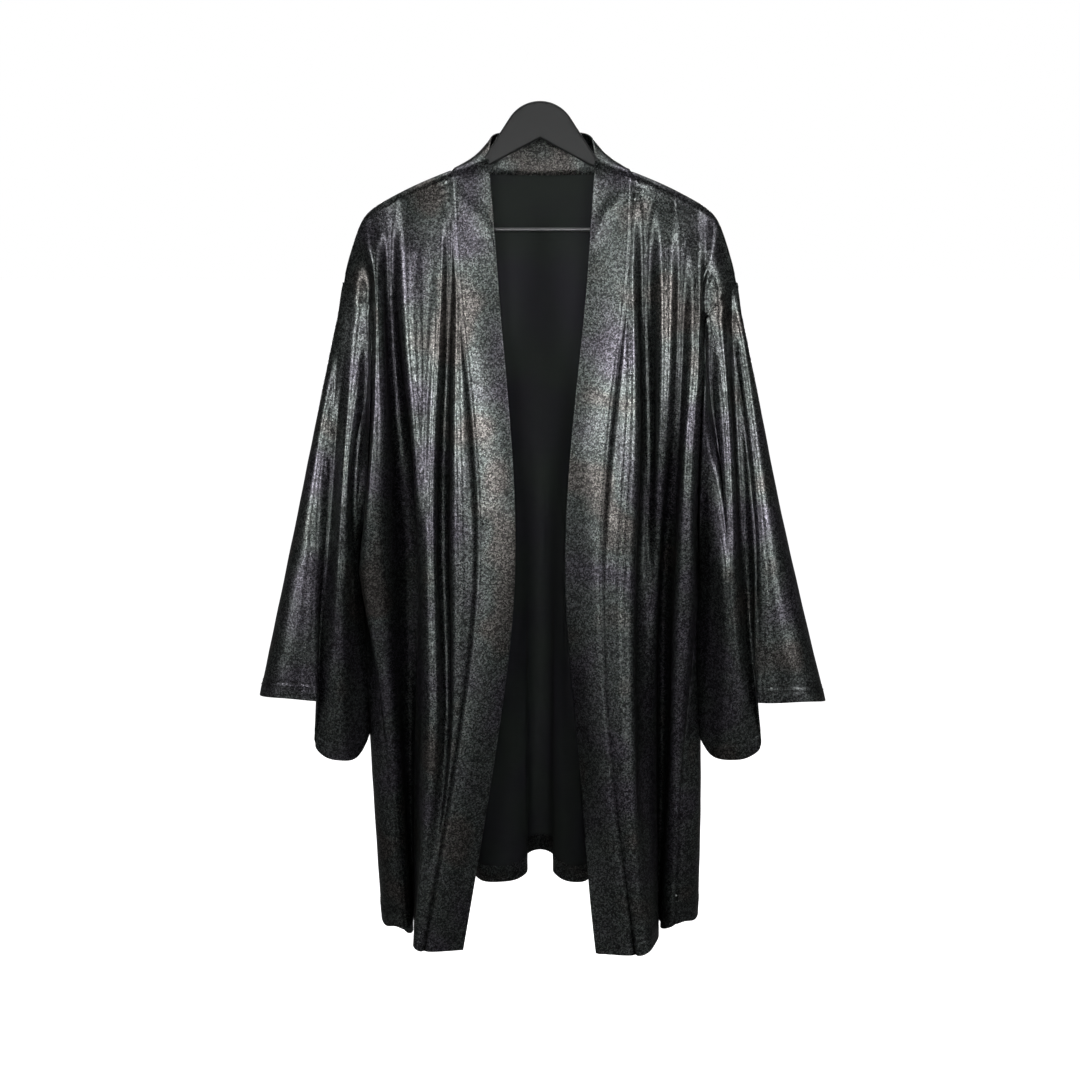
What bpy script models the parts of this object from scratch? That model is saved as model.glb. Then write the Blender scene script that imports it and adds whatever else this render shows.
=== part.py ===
"""An open kimono robe with dropped sleeves and one continuous front band, hung on a plain hanger.

X runs to the right as seen from the front, Y from the front to the back, and Z up. The origin is
the top of the hanger's head. Right and left are the wearer's, so the right side is at -X.
Sizes are in millimetres; the meshes are in metres.
"""

import math

import bmesh
import bpy
import numpy as np
from mathutils import Matrix, Vector

MM = 0.001

# Cloth
WALL = 1.2
BAND_WALL = 2.4
BAND_WIDTH = 47.0
SEAM_GAP = 0.32
SAME_PLACE = 4

# Hanger
HANGER_THICK = 10.0
HANGER_EDGE = 3.0
HEAD_RADIUS = 42.0
HEAD_FLANK = math.radians(56.5)
GABLE_Z = -42.4
GABLE_SLOPE = 0.528
ARM_END = 192.0
ARM_TIP = 9.0
ARM_REST = 4.5
LUG_X = (168.0, 180.0)
LUG_Z = -154.0
BAR_Z = -146.8
BAR_RADIUS = 2.25
BAR_SOCKET = 7.0
BAR_PLAY = 0.35
HEAD_POINTS = 8
ARM_POINTS = 6
ROD_SIDES = 16
EDGE_ANGLE = math.radians(60)
EDGE_STEPS = 2

# Body: levels down the panels, the hem's height at the hanger's plane and its rise to the back
LEVELS = {"yoke": -180.0, "chest": -350.0, "waist": -540.0, "hip": -740.0}
HEM_Z = -984.5
HEM_RISE = 0.2
NECK_X = {-1: 104.0, 1: 108.0}
NECK_DEPTH = 40.0
NECK_POWER = 4
NECK_Z = -78.0
NECK_DIP = 4.0
SHOULDER_ROLL = 10.0

# Grid of the panels
ARM_SHARES = np.array((0, 0.025, 0.055, 0.1, 0.155, 0.23, 0.31, 0.385, 0.46, 0.56, 0.66, 0.76, 0.85, 0.93, 1))
ARM_ROWS = len(ARM_SHARES) - 1
SIDE_ROWS = 11
SLEEVE_ROWS = 11
SLEEVE_STEPS = (1, 1, 2, 4, 4, 2) + (1,) * (ARM_ROWS - 8) + (1, 2)
BAND_COLUMNS = 4
TOP_REACH = 0.5
TOP_FADE = 1.5
SHOULDER_POINTS = 200
EDGE_POINTS = 600
LOOP_LEAD = 3

# A fold's shoulders: their share of the way to the next fold, along the cloth and away from it
TURN_ALONG = 0.4
TURN_ACROSS = 0.12


def table(columns, *rows):
    """Rows of sizes under the names of their columns."""
    names = columns.split()
    return [dict(zip(names, row)) for row in rows]


# Outline of the shoulder from the neck to the top of the sleeve
SHOULDER = table(
    "x z",
    (104, -78),
    (134, -90),
    (181, -113),
    (203, -129),
    (213, -146),
    (219, -163),
    (225, -184),
    (231, -208),
)

# Front armholes from the shoulder to the underarm; the back ones mirror them, a little flatter
BACK_ARMHOLE = 0.9
ARMHOLE = {
    -1: table(
        "x y z",
        (231, 0, -208),
        (216, -18, -218),
        (204, -29, -231),
        (197, -41, -272),
        (198, -46, -341),
        (205, -36, -449),
        (214, -18, -513),
        (219, -3, -545),
    ),
    1: table(
        "x y z",
        (231, 0, -208),
        (213, -20, -224),
        (202, -31, -241),
        (194, -42, -280),
        (190, -46, -341),
        (188, -35, -449),
        (190, -18, -513),
        (194, -3, -545),
    ),
}
SIDE_SEAM = {
    -1: table("x y z", (200, -22, -647), (191, -28, -733), (177, -33, -847), (166, -35, -995)),
    1: table("x y z", (186, -22, -647), (178, -28, -733), (171, -33, -833), (166, -35, -988)),
}

# Folds of each panel: the place of a ridge or valley on the shoulder, then its distance from the
# centre and its depth at each level
FOLD = "fold top yoke yoke_y chest chest_y waist waist_y hip hip_y hem hem_y drop"
FRONT = {
    -1: table(
        FOLD,
        ("band_seam", 104, 97, -24, 83, -42, 76, -56, 96, -70, 139, -86, 0),
        ("band_ridge", 106, 102, -22, 96, -50, 97, -62, 103, -74, 143, -89, 0),
        ("band_valley", 109, 105, -18, 111, -30, 114, -36, 110, -58, 148, -89, -2),
        ("chest_ridge", 115, 112, -25, 124, -47, 129, -61, 129, -76, 152, -83, -3),
        ("chest_valley", 128, 125, -20, 135, -39, 135, -56, 139, -64, 153, -64, 0),
        ("mid_ridge", 153, 154, -26, 144, -45, 140, -50, 147, -40, 154, -36, 3),
        ("deep_groove", 175, 177, -16, 167, -18, 150, -8, 160, 2, 156, 8, 8),
        ("arm_ridge", 185, 184, -24, 185, -51, 203, -45, 184, -33, 161, -32, 10),
    ),
    1: table(
        FOLD,
        ("band_seam", 108, 103, -24, 87, -42, 75, -56, 82, -70, 114, -86, 6),
        ("band_ridge", 111, 109, -23, 106, -50, 100, -62, 104, -76, 121, -91, 6),
        ("chest_valley", 119, 118, -16, 128, -27, 127, -36, 122, -50, 129, -89, 4),
        ("chest_ridge", 151, 153, -26, 145, -47, 137, -40, 135, -32, 138, -72, 3),
        ("deep_groove", 162, 163, -20, 161, -34, 148, -12, 148, 2, 146, 8, 4),
        ("arm_ridge", 185, 181, -25, 174, -51, 172, -54, 167, -40, 156, -34, 2),
    ),
}
BACK = {
    -1: table(
        FOLD,
        ("side_fold", 185, 188, 24, 189, 46, 211, 24, 208, -4, 195, -6, 9),
        ("side_turn", 172, 175, 17, 177, 27, 195, 45, 200, 33, 189, 32, 4),
        ("side_valley", 158, 160, 17, 160, 25, 172, 32, 178, 28, 168, 36, 0),
        ("blade_ridge", 142, 142, 25, 142, 43, 149, 55, 149, 68, 146, 80, 0),
        ("blade_valley", 121, 119, 19, 118, 30, 118, 34, 121, 44, 123, 60, 0),
        ("neck_ridge", 104, 97, 30, 92, 46, 91, 60, 97, 76, 102, 92, 0),
        ("neck_valley", 72, 66, 36, 56, 38, 52, 43, 52, 53, 56, 66, -2),
        ("centre_flank", 34, 32, 40, 26, 42, 21, 50, 20, 64, 23, 80, -2),
        ("flute_edge", 17, 16, 41, 14, 47, 13, 60, 15, 88, 18, 127, -6),
    ),
    1: table(
        FOLD,
        ("side_fold", 185, 188, 24, 185, 45, 187, 26, 195, -4, 195, -6, 2),
        ("side_turn", 170, 172, 17, 171, 27, 177, 47, 187, 34, 188, 30, 0),
        ("side_valley", 156, 157, 17, 155, 25, 158, 32, 165, 26, 164, 33, 0),
        ("blade_ridge", 139, 137, 25, 135, 42, 134, 53, 137, 65, 136, 76, 0),
        ("blade_valley", 120, 117, 19, 113, 29, 107, 33, 108, 41, 110, 54, 0),
        ("neck_ridge", 108, 96, 30, 86, 45, 78, 58, 80, 75, 84, 92, 0),
        ("neck_valley", 70, 62, 36, 50, 38, 42, 43, 40, 53, 42, 66, -2),
        ("centre_flank", 34, 32, 40, 26, 42, 21, 50, 20, 64, 23, 80, -2),
        ("flute_edge", 17, 16, 41, 14, 47, 13, 60, 15, 88, 18, 127, -6),
    ),
}
CENTRE_FLUTE = table(FOLD, ("centre_flute", 0, 0, 42, 0, 50, 0, 66, 1, 98, 1, 138, -7))[0]

# Folds of a sleeve round from the overarm: their column at the armhole, their place half-way
# down, and their place at the cuff
SLEEVE = table(
    "fold column mid mid_y cuff cuff_y cuff_z",
    ("overarm", 0, 284, 0, 339, 0, -703),
    ("outer_ridge", 4, 267, -38, 303, -50, -698),
    ("outer_edge", 6, 256, -37, 268, -44, -701),
    ("inset_fold", 9, 247, -32, 274, -24, -754),
    ("inner_ridge", 12, 238, -54, 250, -46, -775),
    ("inner_groove", 18, 221, -24, 227, -22, -780),
    ("underarm", 23, 208, 2, 213, 10, -759),
    ("back_groove", -18, 221, 28, 226, 32, -770),
    ("back_ridge", -12, 238, 48, 247, 48, -756),
    ("back_inset", -9, 250, 30, 268, 18, -736),
    ("back_outer", -4, 270, 38, 306, 46, -709),
)
SLEEVE_NEAR = 0.3
SLEEVE_EASE = 0.3
SLEEVE_CLEAR = (0.8, 3.0)
SLEEVE_CLEAR_Z = (-640, -575)
SLEEVE_SOFT = 3.0
SLEEVE_LEVELS = (-45, -30, -15, 0, 15)
SLEEVE_FOLD_Z = (-530, -500)
# How a sleeve's underarm and overarm differ from the right one's, half-way down and at the cuff
SLEEVE_SHIFT = {
    -1: table("at mid cuff cuff_z", ("underarm", 0, 0, 0), ("overarm", 0, 0, 0)),
    1: table("at mid cuff cuff_z", ("underarm", -15, -14, -2), ("overarm", 0, 7, -8)),
}

# The band's reach from its seam to its folded edge
BAND = {
    -1: table(
        "z inward back up",
        (-78, 35, 0, 31),
        (-180, 44, 6, 3),
        (-350, 44, 5, 1),
        (-540, 47, 2, 0),
        (-740, 45, 6, 0),
        (-1000, 45, 4, 0),
    ),
    1: table(
        "z inward back up",
        (-78, 36, 0, 30),
        (-180, 44, 6, 3),
        (-350, 45, 4, 1),
        (-540, 43, 10, 0),
        (-740, 37, 26, 0),
        (-1000, 46, 4, 0),
    ),
}
BAND_NECK = table("share inward back up", (0.0, 35, 0, 31), (0.2, 25, 0, 41), (1.0, 0, -4, 47))


def smooth(knots, points, at):
    """Points on the natural cubic spline that runs through the given points at the knots."""
    knots = np.asarray(knots, float)
    points = np.asarray(points, float)
    at = np.asarray(at, float)
    step = np.diff(knots)
    matrix = np.eye(len(knots))
    right = np.zeros_like(points)
    for i in range(1, len(knots) - 1):
        matrix[i, i - 1 : i + 2] = step[i - 1], 2 * (step[i - 1] + step[i]), step[i]
        right[i] = 6 * (
            (points[i + 1] - points[i]) / step[i] - (points[i] - points[i - 1]) / step[i - 1]
        )
    bend = np.linalg.solve(matrix, right.reshape(len(knots), -1)).reshape(points.shape)
    k = np.clip(np.searchsorted(knots, at, side="right") - 1, 0, len(step) - 1)
    shape = (-1,) + (1,) * (points.ndim - 1)
    span = step[k].reshape(shape)
    w = ((at - knots[k]) / step[k]).reshape(shape)
    level = (1 - w) * points[k] + w * points[k + 1]
    curve = ((1 - w) ** 3 - (1 - w)) * bend[k] + (w**3 - w) * bend[k + 1]
    return level + span**2 / 6 * curve


def chords(points):
    """Distances along a line of points."""
    return np.concatenate([[0], np.cumsum(np.linalg.norm(np.diff(points, axis=0), axis=1))])


def unit(vectors):
    return vectors / np.linalg.norm(vectors, axis=-1, keepdims=True)


def turn(way, tangent):
    """The step from a fold to its shoulder, on the way to the next fold."""
    along = (way @ tangent) * tangent
    return TURN_ALONG * along + TURN_ACROSS * (way - along)


def across(points, lead=0):
    """A section through the points of the folds, with a shoulder either side of each fold.

    The first and last `lead` points only guide the section's ends.
    """
    ways = np.diff(points, axis=0)
    heads = unit(ways)
    tangents = unit(np.vstack([heads[:1], heads[1:] + heads[:-1], heads[-1:]]))
    section = [points[lead]]
    for i in range(lead, len(ways) - lead):
        section.append(points[i] + turn(ways[i], tangents[i]))
        section.append(points[i + 1] - turn(ways[i], tangents[i + 1]))
        section.append(points[i + 1])
    return np.array(section)


def between(places):
    """The places of the columns, from the places of the folds."""
    at = [places[0]]
    for one, two in zip(places[:-1], places[1:]):
        at.extend(one + (two - one) * np.array((TURN_ALONG, 1 - TURN_ALONG, 1)))
    return np.array(at)


def columns(rows, *names):
    return np.array([[row[name] for name in names] for row in rows], float)


def row_heights(top, hem):
    """Heights of a panel's rows down a line, level with one another from the underarm's row on."""
    shoulder, underarm = ARMHOLE[1][0]["z"], ARMHOLE[1][-1]["z"]
    arm = shoulder + (underarm - shoulder) * ARM_SHARES**2 + (top - shoulder) * (1 - ARM_SHARES) ** TOP_FADE
    side = underarm + (hem - underarm) * (np.arange(SIDE_ROWS) + 1) / SIDE_ROWS
    return np.concatenate([arm, side])


def shoulder_curve():
    line = columns(SHOULDER, "x", "z")
    fine = smooth(chords(line), line, np.linspace(0, chords(line)[-1], SHOULDER_POINTS))
    return chords(fine), fine


def on_shoulder(x):
    """Points (x, z) of the shoulder's outline at these distances from the centre."""
    length, line = shoulder_curve()
    places = np.interp(x, line[:, 0], length)
    return np.stack([np.interp(places, length, line[:, i]) for i in range(2)], axis=1)


def top_of(x, sign, back):
    """A fold's start on the shoulder, or on the back of the neck, and its share of the roll."""
    neck = NECK_X[sign]
    if back and x < neck:
        share = (x / neck) ** NECK_POWER
        z = NECK_Z - NECK_DIP * (1 - (x / neck) ** 2)
        return np.array([sign * x, NECK_DEPTH * (1 - share), z]), share
    z = on_shoulder([x])[0, 1]
    return np.array([sign * x, 0.0, z]), 1.0


def fold_line(fold, sign, back=False):
    """Points down one ridge or valley of a panel, one for each row."""
    top, share = top_of(fold["top"], sign, back)
    roll = SHOULDER_ROLL * share * (1 if back else -1)
    x = [sign * fold[level] for level in (*LEVELS, "hem")]
    y = [fold[level + "_y"] for level in (*LEVELS, "hem")]
    hem = HEM_Z + HEM_RISE * y[-1] - fold["drop"]
    drops = top[2] - np.array([top[2], *LEVELS.values(), hem])
    drop = top[2] - row_heights(top[2], hem)
    turn = np.sqrt(1 - (1 - np.clip(drop / SHOULDER_ROLL, 0, 1)) ** 2)
    path = np.array([[top[0], top[1]]] + [[a, b - roll] for a, b in zip(x, y)])
    line = smooth(drops, path, drop)
    return np.stack([line[:, 0], line[:, 1] + roll * turn, top[2] - drop], axis=1)


def edge_line(sign, back=False):
    """A panel's outer edge, down the armhole and then the side seam."""
    arm = columns(ARMHOLE[sign], "x", "y", "z")
    if back:
        arm[:, 1] *= -BACK_ARMHOLE
        arm[-1, 1] = ARMHOLE[sign][-1]["y"]
    side = np.vstack([arm[-1:], columns(SIDE_SEAM[sign], "x", "y", "z")])
    heights = row_heights(arm[0, 2], side[-1, 2])
    above = at_heights(arm, heights[: ARM_ROWS + 1])
    below = at_heights(side, heights[ARM_ROWS + 1 :])
    return np.vstack([above, below]) * (sign, 1, 1)


def at_heights(line, heights):
    """Points at these heights on a smooth line that runs down."""
    length = chords(line)
    fine = smooth(length, line, np.linspace(0, length[-1], EDGE_POINTS))
    return np.stack([np.interp(-heights, -fine[:, 2], fine[:, i]) for i in range(3)], axis=1)


def panel(lines, top, before, after):
    """A grid of rows and columns through fold lines, whose first row is moved to the given top.

    Below the underarm the neighbours' nearest lines guide the sections' ends.
    """
    grid = []
    for i in range(len(lines[0])):
        points = np.array([line[i] for line in lines])
        if i > ARM_ROWS:
            grid.append(across(np.vstack([before[i], points, after[i]]), lead=1))
        else:
            grid.append(across(points))
    grid = np.array(grid)
    fade = np.zeros(len(grid))
    fade[: ARM_ROWS + 1] = np.clip(1 - ARM_SHARES / TOP_REACH, 0, 1) ** 2
    return grid + fade[:, None, None] * (top - grid[0])


def front_lines(sign):
    return [fold_line(fold, sign) for fold in FRONT[sign]] + [edge_line(sign)]


def back_lines(sign):
    return [edge_line(sign, back=True)] + [fold_line(fold, sign, back=True) for fold in BACK[sign]]


def front_grid(sign):
    """A front from its band seam to its side seam."""
    lines = front_lines(sign)
    tops = [fold["top"] for fold in FRONT[sign]] + [SHOULDER[-1]["x"]]
    shoulder = on_shoulder(between(tops))
    top = np.stack([sign * shoulder[:, 0], 0 * shoulder[:, 0], shoulder[:, 1]], axis=1)
    top[0] = lines[0][0]
    inward = 2 * lines[0] - lines[1]
    return panel(lines, top, inward, back_lines(sign)[1])


def back_top(sign):
    """The back's upper edge from the sleeve to the middle of the neck."""
    tops = [SHOULDER[-1]["x"]] + [fold["top"] for fold in BACK[sign]] + [0.0]
    return np.array([top_of(x, sign, back=True)[0] for x in between(tops)])


def back_grid():
    """The back from its right side seam to its left one."""
    right, left = back_lines(-1), back_lines(1)
    lines = right + [fold_line(CENTRE_FLUTE, 1, back=True)] + left[::-1]
    top = np.vstack([back_top(-1), back_top(1)[-2::-1]])
    return panel(lines, top, front_lines(-1)[-2], front_lines(1)[-2])


def armhole_line(sign, at, back=False):
    """Points of the armhole's edge at these places in its rows."""
    edge = edge_line(sign, back)[: ARM_ROWS + 1]
    rows = np.arange(ARM_ROWS + 1)
    return np.stack([np.interp(at, rows, edge[:, i]) for i in range(3)], axis=1)


def sleeve_grid(sign):
    """A sleeve round from the overarm over its front, from the armhole to the cuff."""
    at = [0.0]
    for i, n in enumerate(SLEEVE_STEPS):
        at.extend(i + (np.arange(n) + 1) / n)
    front = armhole_line(sign, at)
    armhole = np.vstack([front, armhole_line(sign, at, back=True)[-2:0:-1]])
    fold_at = columns(SLEEVE, "column")[:, 0].astype(int) % len(armhole)
    cuff = columns(SLEEVE, "cuff", "cuff_y", "cuff_z")
    out = (cuff[:, :1] - cuff[:, 0].min()) / np.ptp(cuff[:, 0])
    near, far = columns(SLEEVE_SHIFT[sign], "mid", "cuff", "cuff_z")
    shift = near + (far - near) * out
    cuff[:, [0, 2]] += shift[:, 1:]
    middle = columns(SLEEVE, "mid", "mid_y")
    middle[:, 0] += shift[:, 0]
    steps = np.diff([*fold_at, len(armhole)])
    cuff_loop = around(cuff * (sign, 1, 1), steps)
    half_way = (armhole[:, 2] + cuff_loop[:, 2]) / 2
    middle_loop = np.column_stack([around(middle * (sign, 1), steps), half_way])
    low = np.clip((armhole[0, 2] - armhole[:, 2]) / np.ptp(armhole[:, 2]), 0, 1)[:, None]
    ease = np.hstack([SLEEVE_NEAR + SLEEVE_EASE * low] * 2 + [SLEEVE_NEAR + 0 * low])
    upper = armhole + (middle_loop - armhole) * ease
    stations = np.array([armhole, upper, middle_loop, cuff_loop])
    grid = smooth([0.0, SLEEVE_NEAR / 2, 0.5, 1.0], stations, np.linspace(0, 1, SLEEVE_ROWS + 1))
    heights = grid[1:, :, 2]
    least = body_reach(sign, heights) + np.interp(heights, SLEEVE_CLEAR_Z, SLEEVE_CLEAR)
    spare = sign * grid[1:, :, 0] - least
    grid[1:, :, 0] = sign * (least + (spare + np.hypot(spare, SLEEVE_SOFT)) / 2)
    return grid


def body_reach(sign, heights):
    """How far the body's side reaches out from the centre about these heights."""
    lines = back_lines(sign)[:3] + front_lines(sign)[-2:-1]
    reach = [
        np.max([np.interp(-heights - step, -line[:, 2], np.abs(line[:, 0])) for line in lines], axis=0)
        for step in SLEEVE_LEVELS
    ]
    return np.mean(reach, axis=0)


def around(points, steps):
    """A closed section through the points of the folds, with so many steps from each to the next."""
    wrapped = np.vstack([points[-LOOP_LEAD:], points, points[: LOOP_LEAD + 1]])
    knots = chords(wrapped[:, :2])
    at = []
    for i, n in enumerate(steps, start=LOOP_LEAD):
        at.extend(knots[i] + (knots[i + 1] - knots[i]) * np.arange(n) / n)
    return smooth(knots, wrapped, at)


def cloth_faces(grid, closed=False):
    """A grid's triangles, two between each four neighbours, cut across the shorter way."""
    rows, cols = grid.shape[:2]
    points = grid.reshape(-1, 3)
    index = np.arange(rows * cols).reshape(rows, cols)
    if closed:
        index = np.column_stack([index, index[:, 0]])
    corners = (index[:-1, :-1], index[:-1, 1:], index[1:, 1:], index[1:, :-1])
    a, b, c, d = (corner.ravel() for corner in corners)
    one_way = np.linalg.norm(points[a] - points[c], axis=1)
    other_way = np.linalg.norm(points[b] - points[d], axis=1)
    straight = one_way <= other_way
    first = np.where(straight, (a, b, c), (a, b, d)).T
    second = np.where(straight, (a, c, d), (b, c, d)).T
    return np.vstack([first, second])


def normals_of(grid, closed=False):
    """Outward directions of a grid whose columns run clockwise as seen from above."""
    points = grid.reshape(-1, 3)
    faces = cloth_faces(grid, closed)
    corners = points[faces]
    slopes = unit(np.cross(corners[:, 1] - corners[:, 0], corners[:, 2] - corners[:, 0]))
    total = np.zeros_like(points)
    for i in range(3):
        one, two = (unit(corners[:, (i + k) % 3] - corners[:, i]) for k in (1, 2))
        angle = np.arccos(np.clip((one * two).sum(axis=1), -1, 1))
        np.add.at(total, faces[:, i], slopes * angle[:, None])
    return unit(total).reshape(grid.shape)


def principled(name, colour, roughness, metallic):
    material = bpy.data.materials.new(name)
    material.use_nodes = True
    shader = material.node_tree.nodes["Principled BSDF"]
    shader.inputs["Base Color"].default_value = (*colour, 1)
    shader.inputs["Roughness"].default_value = roughness
    shader.inputs["Metallic"].default_value = metallic
    return material


def add_object(name, mesh, material, parent):
    obj = bpy.data.objects.new(name, mesh)
    obj.data.materials.append(material)
    obj.parent = parent
    bpy.context.scene.collection.objects.link(obj)
    return obj


def wall(name, outer, normals, thick, material, parent, closed=False):
    """A cloth wall: the grid, the same grid moved in along the normals, and the rims between.

    The thickness is one size, or one for each column.
    """
    rows, cols = outer.shape[:2]
    inner = outer - np.broadcast_to(thick, cols)[None, :, None] * normals
    points = np.concatenate([outer.reshape(-1, 3), inner.reshape(-1, 3)]) * MM
    index = np.arange(rows * cols).reshape(rows, cols)
    if closed:
        index = np.column_stack([index, index[:, 0]])
    cloth = cloth_faces(outer, closed)
    rim_lines = [index[0], index[-1][::-1]]
    if not closed:
        rim_lines += [index[:, 0][::-1], index[:, -1]]
    far = rows * cols
    rims = [(a, a + far, b + far, b) for line in rim_lines for a, b in zip(line[:-1], line[1:])]
    faces = [*cloth, *(cloth[:, ::-1] + far), *rims]
    mesh = bpy.data.meshes.new(name)
    mesh.from_pydata([tuple(p) for p in points], [], [tuple(int(i) for i in f) for f in faces])
    shell = bmesh.new()
    shell.from_mesh(mesh)
    bmesh.ops.recalc_face_normals(shell, faces=shell.faces)
    shell.to_mesh(mesh)
    shell.free()
    return add_object(name, mesh, material, parent)


def band_grid(seam_right, seam_neck, seam_left):
    """The band from the right hem up round the neck to the left hem, from its seam to its fold."""
    reach = []
    for sign, seam in ((-1, seam_right), (1, seam_left)):
        depths = -columns(BAND[sign], "z")[:, 0]
        ways = smooth(depths, columns(BAND[sign], "inward", "back", "up"), -seam[:, 2])
        reach.append(ways * (-sign, 1, 1))
    neck = []
    shares_in = columns(BAND_NECK, "share")[:, 0]
    reach_in = columns(BAND_NECK, "inward", "back", "up")
    for point in seam_neck[1:-1]:
        sign = -1 if point[0] < 0 else 1
        share_in = 1 - abs(point[0]) / NECK_X[sign]
        neck.append(smooth(shares_in, reach_in, [share_in])[0] * (-sign, 1, 1))
    seam = np.vstack([seam_right[::-1], seam_neck[1:-1], seam_left])
    ways = np.vstack([reach[0][::-1], neck, reach[1]])
    ways *= BAND_WIDTH / np.linalg.norm(ways, axis=1, keepdims=True)
    shares = np.linspace(0, 1, BAND_COLUMNS + 1)
    return seam[:, None] + ways[:, None] * shares[None, :, None]


def share_normals(grids, normals):
    """Gives the points where pieces meet one normal between them."""
    places = np.vstack([grid.reshape(-1, 3) for grid in grids.values()]).round(SAME_PLACE) + 0.0
    slopes = np.vstack([normals[name].reshape(-1, 3) for name in grids])
    place = np.unique(places, axis=0, return_inverse=True)[1].ravel()
    total = np.zeros((place.max() + 1, 3))
    np.add.at(total, place, slopes)
    shared = unit(total)[place]
    start = 0
    for name, grid in grids.items():
        size = grid.shape[0] * grid.shape[1]
        normals[name] = shared[start : start + size].reshape(grid.shape)
        start += size


def draw_apart(name, grid):
    """Draws a piece's sewn edges back by half of the seams' gap."""
    whole = grid.copy()
    half = SEAM_GAP / 2
    if name == "neck_band":
        grid[:, 0] += unit(whole[:, 1] - whole[:, 0]) * half
    elif name.startswith("sleeve"):
        grid[0] += unit(whole[1] - whole[0]) * half
    else:
        along_y = np.array((0, 1 if name == "back" else -1, 0))
        on_neck = (whole[0, :, 1] > 0)[:, None]
        grid[0] += np.where(on_neck, unit(whole[1] - whole[0]), along_y) * half
        for edge, inside in ((0, 1), (-1, -2)):
            grid[:, edge] += unit(whole[:, inside] - whole[:, edge]) * half


def armhole_columns():
    """A sleeve's columns that meet the rows of the front or of the back, from the shoulder down."""
    return np.concatenate([[0], np.cumsum(SLEEVE_STEPS)])


def armhole_normals(edge, loop, own):
    """A sleeve's normals at the armhole.

    Above they are the body's, with those between its rows taken from their neighbours. Below, where
    the sleeve folds back against the body, they are its own.
    """
    front = armhole_columns()
    shared = np.unique(np.concatenate([front, -front % len(loop)]))
    at = np.arange(len(loop))
    spread = np.stack([np.interp(at, shared, loop[shared, i], period=len(loop)) for i in range(3)], axis=1)
    fold = np.interp(edge[:, 2], SLEEVE_FOLD_Z, (1, 0))[:, None]
    return unit(spread * (1 - fold) + own * fold)


def keep_beside_shoulder(points, normals, side):
    """Turns normals near the shoulder seam so that the wall's inner face stays on its own side of it."""
    most = np.maximum(side * points[..., 1] - SEAM_GAP / 2, 0) / WALL
    lean = np.minimum(side * normals[..., 1], most)
    rest = unit(normals[..., [0, 2]]) * np.sqrt(1 - lean**2)[..., None]
    normals[...] = np.stack([rest[..., 0], side * lean, rest[..., 1]], axis=-1)


def add_robe(parent):
    fronts = {sign: front_grid(sign) for sign in (-1, 1)}
    back = back_grid()
    sleeves = {sign: sleeve_grid(sign) for sign in (-1, 1)}
    behind = np.flatnonzero(back[0, :, 1] > 0)
    neck = slice(behind[0] - 1, behind[-1] + 2)
    grids = {
        "front_right": fronts[-1],
        "front_left": fronts[1][:, ::-1].copy(),
        "back": back,
        "sleeve_right": np.roll(sleeves[-1][:, ::-1], 1, axis=1),
        "sleeve_left": sleeves[1],
        "neck_band": band_grid(fronts[-1][:, 0], back[0, neck], fronts[1][:, 0]),
    }
    normals = {name: normals_of(grid, name.startswith("sleeve")) for name, grid in grids.items()}
    own = {name: normals[name][0].copy() for name in ("sleeve_right", "sleeve_left")}
    share_normals(grids, normals)
    for name, loop in own.items():
        normals[name][0] = armhole_normals(grids[name][0], normals[name][0], loop)
        normals[name][-1] = normals[name][-2]
    for name, grid in grids.items():
        draw_apart(name, grid)
    for name in ("front_right", "front_left", "back", *own):
        high = slice(0, 1 if name in own else ARM_ROWS)
        side = np.where(grids[name][high, :, 1] < 0, -1, 1)
        keep_beside_shoulder(grids[name][high], normals[name][high], side)
    foil = principled("foil_jersey", (0.045, 0.047, 0.05), 0.42, 0.55)
    for name, grid in grids.items():
        thick = [WALL] + [BAND_WALL] * BAND_COLUMNS if name == "neck_band" else WALL
        wall(name, grid, normals[name], thick, foil, parent, closed=name.startswith("sleeve"))


def under_arm(x):
    """A point on the slanting underside of the hanger's arm."""
    return x, GABLE_Z - GABLE_SLOPE * x


def hanger_half():
    """Right-hand half of the hanger's outline from the top of its head round to the gable."""
    lean = math.pi / 2 - HEAD_FLANK
    head = [
        (HEAD_RADIUS * math.sin(a), HEAD_RADIUS * (math.cos(a) - 1))
        for a in np.linspace(0, math.pi / 2 - lean, HEAD_POINTS)
    ]
    top = on_shoulder(np.linspace(SHOULDER[0]["x"], ARM_END - ARM_TIP, ARM_POINTS))
    arm_slope = (top[1, 1] - top[0, 1]) / (top[1, 0] - top[0, 0])
    flank_x, flank_z = head[-1]
    fall = -math.tan(HEAD_FLANK)
    rest = top[0, 1] - ARM_REST
    meet = (rest - arm_slope * top[0, 0] - flank_z + fall * flank_x) / (fall - arm_slope)
    corner = (meet, flank_z + fall * (meet - flank_x))
    arm = [corner] + [(x, z - ARM_REST) for x, z in top] + [(ARM_END, top[-1, 1] - ARM_REST - ARM_TIP)]
    near, far = LUG_X
    lug = [under_arm(far), (far, LUG_Z), (near, LUG_Z), under_arm(near)]
    return head + arm + [under_arm(ARM_END)] + lug + [under_arm(0.0)]


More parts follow.
